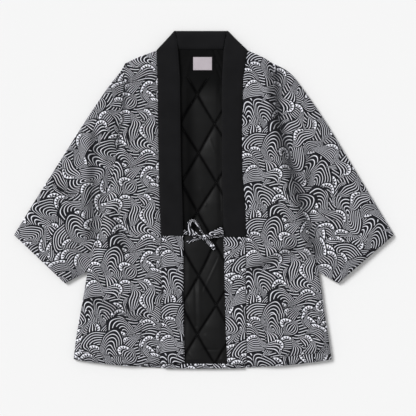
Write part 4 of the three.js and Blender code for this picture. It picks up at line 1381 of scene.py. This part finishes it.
# %% [markdown]
# ## Quilted lining
#
# The lining of the back shows in the opening. It is quilted in long diamonds: two sets of slanting stitch
# lines cross, and the wadding stands up between them. The height is the product of two sines that are
# zero on the stitch lines, raised to a small power, so that each line is a narrow ditch and each diamond
# a broad crown. The lining hangs a little loose between the fronts, so it also has creases of its own.

# %% Sizes and creases of the lining
QUILT_HALF_WIDTH = 43
QUILT_HALF_LENGTH = 72
QUILT_RISE = 5.6
CROWN_POWER = 0.55
DITCH_HALF_WIDTH = 3.6
DITCH_SHARE = 0.85
# Painted shadow of the collar on the satin: how dark, how wide beside the left band, and where it ends
SHADE_SHARE = 0.6
COLLAR_SHADE = 56
COLLAR_SHADE_END = -110
NECK_SHADE_START = 230
QUILT_CROSSING = (-15, 261)
QUILT_SLIP = 12
SLIP_START = -60
SLIP_REACH = 120
QUILT_SWAY = 2.5
SWAY_REACH = 47
HEM_TURN = 12.5
LINING_LOW = HEM + HEM_TURN
LABEL_PLACE = (-3.5, 337)
LABEL_SIZE = (46, 32)
LINING_CREASES = [
    Fold(38, -134, 0, -214, 4, 1.1), Fold(34, -138, -4, -218, 3, -1.1), Fold(-2, -364, 34, -364, 3, -1.3),
    Fold(-21, -196, -19, -306, 4, -1.5), Fold(-13, -196, -10, -300, 5, 0.9),
    Fold(23, 371, 34, 341, 2.5, -1.5), Fold(27, 352, 50, 318, 3, -1.5), Fold(26, 338, 42, 298, 2.5, -1.4),
    Fold(31, 368, 45, 342, 2.5, 1.3), Fold(35, 332, 48, 302, 2.5, 1.3),
    Fold(-52, 330, -55, 288, 4, -1.0), Fold(-34, 349, -44, 306, 3.5, 0.7), Fold(38, 260, 40, 206, 4, 0.8),
    Fold(-50, 214, -52, 140, 4, -1.0), Fold(38, 60, 42, -20, 4, -1.0), Fold(-46, -30, -50, -70, 4, -0.8),
    Fold(-44, -240, -22, -300, 3, 0.8), Fold(4, -330, 22, -352, 4, 0.7), Fold(-40, -370, -14, -398, 3, 0.8),
    Fold(12, -378, 30, -398, 3, -0.8), Fold(-8, 30, 4, -10, 4, 0.7), Fold(14, 152, 26, 120, 3, 0.7),
]
print("a diamond is", 2 * QUILT_HALF_WIDTH, "by", 2 * QUILT_HALF_LENGTH, "mm")

# %% [markdown]
# ### Crowns and ditches
#
# Two slanting coordinates, each whole on its own set of lines, do all the work. They give the height, and
# they give the painted shade for the satin, named depth. Under the neck and along the left band the lining
# lies behind the thick collar as seen from the light, so more shade is painted there as well.


# %% Height and depth of the lining
def slipped(y):
    """The lower rows of quilting have slipped down a little."""
    return y + QUILT_SLIP * smooth((SLIP_START - y) / SLIP_REACH)


def quilt_phase(x, y):
    """Two numbers that are whole on the two sets of stitch lines."""
    across = (x - QUILT_CROSSING[0] - QUILT_SWAY * np.sin(y / SWAY_REACH)) / QUILT_HALF_WIDTH
    along = (slipped(y) - QUILT_CROSSING[1]) / QUILT_HALF_LENGTH
    return (across + along) / 2, (across - along) / 2


def lining_height(plan):
    x, y = plan[..., 0], plan[..., 1]
    one, other = quilt_phase(x, y)
    crown = np.abs(np.sin(math.pi * one) * np.sin(math.pi * other)) ** CROWN_POWER
    to_bands = np.minimum(x - collar_x(INNER[LEFT], y), collar_x(INNER[RIGHT], y) - x)
    rise = QUILT_UNDER_COLLAR + (QUILT_RISE - QUILT_UNDER_COLLAR) * smooth((to_bands - 2) / 14)
    near_label = smooth((LABEL_PLACE[1] - 24 - y) / 50) * smooth((y - HEM - 13) / 10)
    ditch = np.minimum(np.abs(np.sin(math.pi * one)), np.abs(np.sin(math.pi * other)))
    drawn = 0.35 * clouds(x, y, size=16, seed=101) * np.exp(-ditch * 7)
    drawn = drawn + 0.20 * clouds(x, y, size=34, seed=102)
    beside = smooth((to_bands - 1) / 6)
    height = rise * crown * (0.12 + 0.88 * near_label) + (drawn + folds(x, y, LINING_CREASES)) * beside
    limit = rise * (0.35 + 0.65 * near_label) + 0.6
    flat_part = smooth((np.hypot(np.maximum(np.abs(x - LABEL_PLACE[0]) - LABEL_SIZE[0] / 2, 0),
                                 np.maximum(np.abs(y - LABEL_PLACE[1]) - LABEL_SIZE[1] / 2, 0)) - 1) / 6)
    return LINING_TOP + np.clip(height, -1.6, limit) * flat_part


def ditches(plan):
    """Painted shade for the satin: 1 on the stitch lines of the quilting, 0 a few millimetres away, and
    more along the left band and under the neck.
    """
    x, y = plan[..., 0], plan[..., 1]
    one, other = quilt_phase(x, y)
    across_line = QUILT_HALF_WIDTH * QUILT_HALF_LENGTH / math.hypot(QUILT_HALF_WIDTH, QUILT_HALF_LENGTH)
    off_line = np.minimum(np.abs(one - np.round(one)), np.abs(other - np.round(other))) * 2 * across_line
    quilted = smooth((LABEL_PLACE[1] - 28 - y) / 20)
    on_line = DITCH_SHARE * np.exp(-(off_line / DITCH_HALF_WIDTH) ** 2) * quilted
    # painted shadow of the collar on the satin, along the left band and under the neck
    from_band = x - collar_x(INNER[LEFT], y)
    by_collar = smooth((COLLAR_SHADE - from_band) / 40) * smooth((y - COLLAR_SHADE_END) / 60)
    under_neck = smooth((y - NECK_SHADE_START) / 70)
    shaded = SHADE_SHARE * (1 - (1 - by_collar) * (1 - under_neck))
    return 1 - (1 - on_line) * (1 - shaded)


print("a crown stands", QUILT_RISE, "mm high")

# %% [markdown]
# ### The lining piece
#
# The grid is finer here than in the other cloths, under 2 mm, because a ditch is only a few millimetres
# wide. It is cut straight at both sides, where the bands cover it.


# %% The lining piece
def lining():
    xs = np.arange(-100, 90.1, 1.8)
    ys = np.linspace(LINING_LOW, NECKLINE, 430)
    plan = np.dstack(np.meshgrid(xs, ys))
    piece = panel("back_lining_cloth", plan, lining_height(plan), FRONT_BASE, plan + (150, 500), [SATIN])
    give_depth(piece, ditches(plan))
    return dress(piece, ["back_lining"]), cut_area(plan)


lining_piece, lining_area = lining()

# %% [markdown]
# ## Hem roll
#
# At the hem of the back the print turns up over the wadding and is sewn to the lining, so a narrow roll
# of print closes the opening below. It is a grid like the other panels, with half a wave as its section.


# %% Hem roll
ROLL_START = -100
ROLL_LENGTH = 196
ROLL_INSET = 0.6


def hem_roll():
    us, vs = stations(ROLL_LENGTH, 4), np.linspace(0, 1, 12)[:, None]
    x = ROLL_START + us * ROLL_LENGTH
    depth = ROLL_INSET + vs * (HEM_TURN - GAP - ROLL_INSET)
    share = depth / HEM_TURN
    y = hem_y(x)[None] * (1 - share) + (HEM + depth) * share
    plan = np.dstack([np.broadcast_to(x[None], y.shape), y])
    roll = 0.7 + 2.7 * np.sin(math.pi * (0.08 + 0.84 * vs)) ** 0.7
    to_lining = HEM_TURN - (plan[..., 1] - HEM)
    upper = FRONT_BASE + roll + 0.3 * puckers(plan[..., 0], to_lining, reach=12, pitch=14, seed=111)
    piece = panel("back_hem_roll_cloth", plan, upper, FRONT_BASE, plan + BACK_SHIFT, [PRINT])
    dress(piece, ["back_hem_roll"])
    return plan, upper


roll_plan, roll_top = hem_roll()

# %% [markdown]
# ## Label
#
# A small woven tape is sewn in under the neck. It is left blank. It lies on the lining, is a millimetre
# thick, and is drawn down a little along its stitches.


# %% Label
TAPE_THICK = 0.9


def label():
    us, vs = stations(LABEL_SIZE[0], 3), stations(LABEL_SIZE[1], 3)
    x = LABEL_PLACE[0] + (us[None] - 0.5) * LABEL_SIZE[0]
    y = LABEL_PLACE[1] + (vs[:, None] - 0.5) * LABEL_SIZE[1]
    plan = np.dstack(np.broadcast_arrays(x, y))
    nearest = to_border(plan)
    thick = TAPE_THICK * rolled(nearest, 0.5, 1.2) - 0.25 * np.exp(-((nearest - 2) / 0.7) ** 2)
    upper = LINING_TOP + GAP + thick
    piece = panel("blank_label", plan, upper, LINING_TOP + GAP, plan, [LABEL])
    return dress(piece, ["label"]), plan, upper


label_piece, label_plan, label_top = label()

# %% [markdown]
# ## Ties and bow
#
# Each front has a narrow tie of the same print, sewn flat and turned inside out. The two are knotted in
# the opening, with one open loop that stands up, one loop lying flat, and two short tails. A tie is a
# path with a width and a lean at each row; a rounded section is carried along it. Near the knot the
# section narrows and thickens, because the cloth is squeezed there.

# %% Rows of the ribbons
Row = namedtuple("Row", "x y z lean width")
TIE_THICK = 3
RIBBONS = {
    "tie_left": (TIE_THICK, [
        Row(-49.4, -76, 13.8, 0, 11), Row(-45, -76.4, 13.9, 0, 11), Row(-32, -79.5, 15.6, 4, 11),
        Row(-18, -84.5, 17.5, 4, 9), Row(-6.9, -88.3, 18, 0, 6)]),
    "tie_right": (TIE_THICK, [
        Row(47.4, -82, 13.9, 0, 11), Row(43, -82.2, 14, 0, 11), Row(28, -85, 14.4, 0, 10),
        Row(16, -88, 15, 0, 8), Row(6.4, -89.5, 15.6, 0, 6)]),
    "bow_loop_left": (TIE_THICK, [
        Row(-1.2, -80.9, 20, 70, 5), Row(-8, -72, 23.5, 66, 9), Row(-17, -55, 25, 66, 11),
        Row(-27, -47.5, 25, 60, 11), Row(-36, -55, 24.2, 40, 11), Row(-35, -70, 23.8, 28, 11),
        Row(-22, -80, 23, 12, 9), Row(-6.4, -86.6, 21.4, 0, 4)]),
    "bow_loop_right": (5.6, [
        Row(6.4, -85.4, 20.2, 0, 6), Row(16, -81.5, 20.8, 0, 9), Row(30, -76, 21.2, 0, 13),
        Row(45.5, -69.6, 21.4, 0, 14.5)]),
    "bow_tail_left": (TIE_THICK, [
        Row(-6.4, -90.8, 15, 0, 6), Row(-12, -90.4, 14.3, 0, 8), Row(-26, -94.5, 14, 0, 9.5),
        Row(-41.6, -101, 13.9, 0, 9.5)]),
    "bow_tail_right": (TIE_THICK, [
        Row(4, -94.9, 15.6, 0, 6), Row(9, -99, 14.8, 0, 9), Row(17, -107, 14.2, 0, 10.5),
        Row(26, -117, 13.9, 0, 10.5)]),
}
RIBBON_STEPS = 56
SECTION_POINTS = 20
print(len(RIBBONS), "ribbons, the thickest of", max(thick for thick, _ in RIBBONS.values()), "mm")

# %% [markdown]
# ### A strip along a path
#
# The section is a circle made flat and broad by two powers, with a dent along its middle, where a sewn
# strip is thinnest. At each step along the path the section stands square to it and leans as its row
# says. The width wavers a little, because no narrow strip is sewn quite even.


# %% Ribbon meshes
def closed_tube(name, rings, centres, flat, material):
    """A closed piece from rings of points, with a point at the middle of each end."""
    steps, count = rings.shape[:2]
    index = np.arange(steps * count).reshape(steps, count)
    looped = np.hstack([index, index[:, :1]])
    first, last = steps * count, steps * count + 1
    starts = [(b, a, first) for a, b in zip(looped[0], looped[0, 1:])]
    ends = [(a, b, last) for a, b in zip(looped[-1], looped[-1, 1:])]
    points = np.vstack([rings.reshape(-1, 3), centres])
    flat = np.vstack([flat.reshape(-1, 2), flat[0, 0], flat[-1, 0]])
    return make_piece(name, points, [quads(looped), np.array(starts + ends)], flat, [material])


def ribbon(name, thick, rows, seed):
    """A sewn strip along a path of rows, with a rounded section that wavers a little."""
    line = spline(np.array(rows, float), np.linspace(0, 1, RIBBON_STEPS + 1))
    centre, lean, width = line[:, :3], np.radians(line[:, 3]), line[:, 4]
    ahead = np.gradient(centre, axis=0)
    ahead /= np.linalg.norm(ahead, axis=1)[:, None]
    flat_side = np.stack([-ahead[:, 1], ahead[:, 0], np.zeros(len(ahead))], axis=1)
    flat_side /= np.linalg.norm(flat_side, axis=1)[:, None]
    up = np.cross(ahead, flat_side)
    across = flat_side * np.cos(lean)[:, None] + up * np.sin(lean)[:, None]
    normal = np.cross(ahead, across)
    run = np.r_[0, np.cumsum(np.linalg.norm(np.diff(centre, axis=0), axis=1))]
    turn = np.arange(SECTION_POINTS) / SECTION_POINTS * math.tau
    w = np.sign(np.cos(turn)) * np.abs(np.cos(turn)) ** 0.45
    h = np.sign(np.sin(turn)) * np.abs(np.sin(turn)) ** 0.8
    dent = 1 - 0.28 * np.exp(-(w / 0.35) ** 2)
    chance = np.random.default_rng(seed)
    waver = 1 + 0.05 * np.sin(run / 5.1 + chance.uniform(0, 6)) + 0.03 * np.sin(run / 2.7)
    sideways = w[None] * (width * waver)[:, None] / 2
    rings = centre[:, None] + across[:, None] * sideways[..., None]
    rings = rings + normal[:, None] * (h * dent * thick / 2)[None, :, None]
    flat = np.dstack([np.broadcast_to(run[:, None], sideways.shape), sideways])
    flat = flat + chance.uniform(0, 200, 2)
    return closed_tube(name, rings, centre[[0, -1]], flat, PRINT)


for k, (name, (thick, rows)) in enumerate(RIBBONS.items()):
    dress(ribbon(f"{name}_cloth", thick, rows, 121 + k), [name])

# %% [markdown]
# ### Knot
#
# The knot is the tie wrapped once round itself: a small barrel with creases that run over it. A ball is
# pushed into that form by numbers: squarer than an ellipsoid, pinched at both sides where the ties go
# in, and with three shallow grooves across.

# %% Knot
KNOT_PLACE = (0, -89, 18)
KNOT_SIZE = (6.5, 7.5, 5)
KNOT_SHRINK = 0.93


def knot():
    """A ball pushed into the form of a knot, from its lower pole to its upper one."""
    around = np.linspace(0, math.tau, 49)[:-1]
    turn, rise = np.meshgrid(around, np.linspace(-math.pi / 2, math.pi / 2, 27)[1:-1])
    ball = np.dstack([np.cos(rise) * np.cos(turn), np.cos(rise) * np.sin(turn), np.sin(rise)])
    square = (np.abs(ball) ** 3).sum(axis=2) ** (-1 / 3)
    grooves = 1 - 0.07 * np.exp(-((ball[..., 0] + 0.25 * ball[..., 1] - 0.2) / 0.12) ** 2)
    grooves = grooves - 0.06 * np.exp(-((ball[..., 0] - 0.2 * ball[..., 1] + 0.35) / 0.1) ** 2)
    pinch = 1 - 0.12 * np.abs(ball[..., 0]) ** 6
    half = np.array(KNOT_SIZE) * KNOT_SHRINK
    rings = ball * (square * grooves * pinch)[..., None] * half + KNOT_PLACE
    poles = np.array([(0, 0, -half[2]), (0, 0, half[2])]) + KNOT_PLACE
    flat = np.dstack([rings[..., 1] + rings[..., 2], rings[..., 0]]) + (60, 90)
    dress(closed_tube("bow_knot_cloth", rings, poles, flat, PRINT), ["bow_knot"])


knot()

# %% [markdown]
# ## Stitches
#
# Every row of stitches is a real row of small threads. Each stitch is a spindle: two rings of six points
# and a tip at each end, with the tips pressed down into the cloth, which is where the thread dives to
# the other side. A row follows a path of points on the finished surface, so it rides over each fold. A
# picture of stitches on the surface would be lighter, but it would look painted from the side. All
# stitches of one kind are joined in one mesh, because thousands of small objects slow everything down.


# %% Making rows of stitches
STITCH_PITCH = 4.2
STITCH_LENGTH = 3.2
THREAD_SIDES = 6


def sewn(path, pitch=STITCH_PITCH, length=STITCH_LENGTH):
    """Start and end of each stitch along a path of points."""
    path = np.asarray(path, float)
    run = np.r_[0, np.cumsum(np.linalg.norm(np.diff(path, axis=0), axis=1))]
    starts = np.arange(0.5, run[-1] - length, pitch)
    both = np.stack([starts, starts + length], axis=1)
    return np.stack([np.interp(both, run, line) for line in path.T], axis=2)


def thread_piece(name, rows, width, material):
    """One mesh of spindles, one for each stitch in all these rows."""
    ends = np.vstack(rows)
    start, stop = ends[:, 0], ends[:, 1]
    ahead = stop - start
    unit = ahead / np.linalg.norm(ahead, axis=1)[:, None]
    side = np.cross(unit, (0, 0, 1))
    side /= np.linalg.norm(side, axis=1)[:, None]
    up = np.cross(side, unit)
    around = np.arange(THREAD_SIDES)
    turn = around / THREAD_SIDES * math.tau
    ring = side[:, None] * np.cos(turn)[None, :, None] + up[:, None] * 0.7 * np.sin(turn)[None, :, None]
    ring = ring * width / 2
    lift = up * width * 0.2
    near = (start + ahead * 0.2 + lift)[:, None] + ring
    beyond = (stop - ahead * 0.2 + lift)[:, None] + ring
    tips = np.stack([start - up * width * 0.5, stop - up * width * 0.5], axis=1)
    points = np.concatenate([near, beyond, tips], axis=1)
    after = (around + 1) % THREAD_SIDES
    far, far_after = around + THREAD_SIDES, after + THREAD_SIDES
    first_tip = np.full(THREAD_SIDES, 2 * THREAD_SIDES)
    sides = np.stack([around, after, far_after, far], axis=1)
    caps = np.vstack([np.stack([after, around, first_tip], axis=1),
                      np.stack([far, far_after, first_tip + 1], axis=1)])
    shift = (np.arange(len(ends)) * points.shape[1])[:, None, None]
    faces = [(part[None] + shift).reshape(-1, part.shape[1]) for part in (sides, caps)]
    points = points.reshape(-1, 3)
    piece = make_piece(name, points, faces, points[:, :2], [material])
    print(len(ends), "stitches")
    dress(piece, [])


def on_grid(plan, upper, row, column):
    """The points of one row or column of a finished grid."""
    surface = np.dstack([plan, np.broadcast_to(upper, plan.shape[:2])])
    return surface[row, column]


print("a stitch every", STITCH_PITCH, "mm")

# %% [markdown]
# ### Quilting threads
#
# The quilting runs along both sets of slanting lines, but not under the label or the bands. Its rows are
# worked out from the same lines as the ditches, so each stitch lies at the bottom of its ditch.


# %% Quilting threads
def quilting_rows():
    """Both sets of slanting lines, cut where the collar or the label's plain field begins."""
    rows = []
    y = np.arange(LINING_LOW + 4, LABEL_PLACE[1] - 30, 1.5)
    slope = QUILT_HALF_WIDTH / QUILT_HALF_LENGTH
    for way in (1, -1):
        for k in range(-12, 13):
            x = QUILT_CROSSING[0] + QUILT_SWAY * np.sin(y / SWAY_REACH)
            x = x + way * (slipped(y) - QUILT_CROSSING[1]) * slope + 2 * k * QUILT_HALF_WIDTH
            free = (x > collar_x(INNER[LEFT], y) + 1.5) & (x < collar_x(INNER[RIGHT], y) - 1.5)
            if free.sum() > 4:
                plan = np.stack([x[free], y[free]], axis=1)
                rows.append(sewn(np.c_[plan, lining_height(plan)]))
    return rows


thread_piece("quilting_stitches", quilting_rows(), 0.8, THREAD_BLACK)

# %% [markdown]
# ### Pocket threads
#
# Each pocket is sewn on along its sides and its foot, a few millimetres inside the edge, and its opening
# has a row of its own. The rows simply follow a row or a column of the pocket's grid.

# %% Pocket threads
EDGE_LINE = 3
pocket_rows = []
for side in SIDES:
    _, _, plan, upper = pockets[side]
    last_row, last_column = plan.shape[0] - 1, plan.shape[1] - 1
    inside = slice(EDGE_LINE, last_column - EDGE_LINE + 1)
    below_opening = slice(EDGE_LINE, last_row)
    for row, column in (
        (below_opening, EDGE_LINE), (below_opening, last_column - EDGE_LINE),
        (EDGE_LINE, inside), (last_row - 6, inside),
    ):
        pocket_rows.append(sewn(on_grid(plan, upper, row, column)))
thread_piece("pocket_stitches", pocket_rows, 0.7, THREAD_BLACK)

# %% [markdown]
# ### Collar threads
#
# The black strip and the printed one are sewn down along both their edges, and one short row crosses the
# lower end of the black strip.

# %% Collar threads
collar_rows = []
for side in SIDES:
    for pieces in (over_collar, lower_collar):
        _, plan, upper = pieces[side]
        for column in (EDGE_LINE, plan.shape[1] - 1 - EDGE_LINE):
            collar_rows.append(sewn(on_grid(plan, upper, slice(2, -2), column)))
    _, plan, upper = over_collar[side]
    collar_rows.append(sewn(on_grid(plan, upper, EDGE_LINE, slice(EDGE_LINE, -EDGE_LINE))))
thread_piece("collar_stitches", collar_rows, 0.7, THREAD_BLACK)

# %% [markdown]
# ### Hem and label threads
#
# The back hem is held by a row of small stitches set far apart. The label has a row along each side, in
# white thread, with the shortest stitches of all.

# %% Hem and label threads
hem_rows = [sewn(on_grid(roll_plan, roll_top, -3, slice(3, -3)), pitch=6.5, length=2.4)]
thread_piece("hem_stitches", hem_rows, 0.7, THREAD_BLACK)
label_rows = []
for row, column in ((EDGE_LINE, slice(3, -3)), (-1 - EDGE_LINE, slice(3, -3)),
                    (slice(3, -3), EDGE_LINE), (slice(3, -3), -1 - EDGE_LINE)):
    label_rows.append(sewn(on_grid(label_plan, label_top, row, column), pitch=2.4, length=1.8))
thread_piece("label_stitches", label_rows, 0.5, THREAD_WHITE)

# %% [markdown]
# ## The floor
#
# A single wide sheet of pale paper under the jacket. It isn't part of the jacket, and it has a material of
# its own, plain and matt. It is far wider than the picture, so that its edge never shows, from whichever
# side the jacket is looked at.

# %% Floor
PAPER_WHITE = 0.86


def floor():
    half = FLOOR_SIZE / 2
    corners = [(-half, -half, 0), (half, -half, 0), (half, half, 0), (-half, half, 0)]
    mesh = bpy.data.meshes.new("floor")
    mesh.from_pydata(corners, [], [(0, 1, 2, 3)])
    paper = bpy.data.materials.new("paper")
    paper.use_nodes = True
    shader = paper.node_tree.nodes["Principled BSDF"]
    shader.inputs["Base Color"].default_value = (PAPER_WHITE, PAPER_WHITE, PAPER_WHITE, 1)
    shader.inputs["Roughness"].default_value = 0.95
    shader.inputs["Specular IOR Level"].default_value = 0.1
    mesh.materials.append(paper)
    made = bpy.data.objects.new("floor", mesh)
    scene.collection.objects.link(made)


floor()
print("floor:", FLOOR_SIZE, "m wide")

# %% [markdown]
# ## The pieces and their flat areas
#
# Last, each side's pieces are unpacked once more with their flat areas and plans, and nothing more is
# done with them. A sleeve is one cloth folded double, so its flat width is twice what shows.


for side in SIDES:
    piece, area = fronts[side]
    piece, area, plan, _ = pockets[side]
    piece, area, plan, _ = sleeves[side]
    piece, plan, _ = over_collar[side]
    piece, plan, _ = lower_collar[side]
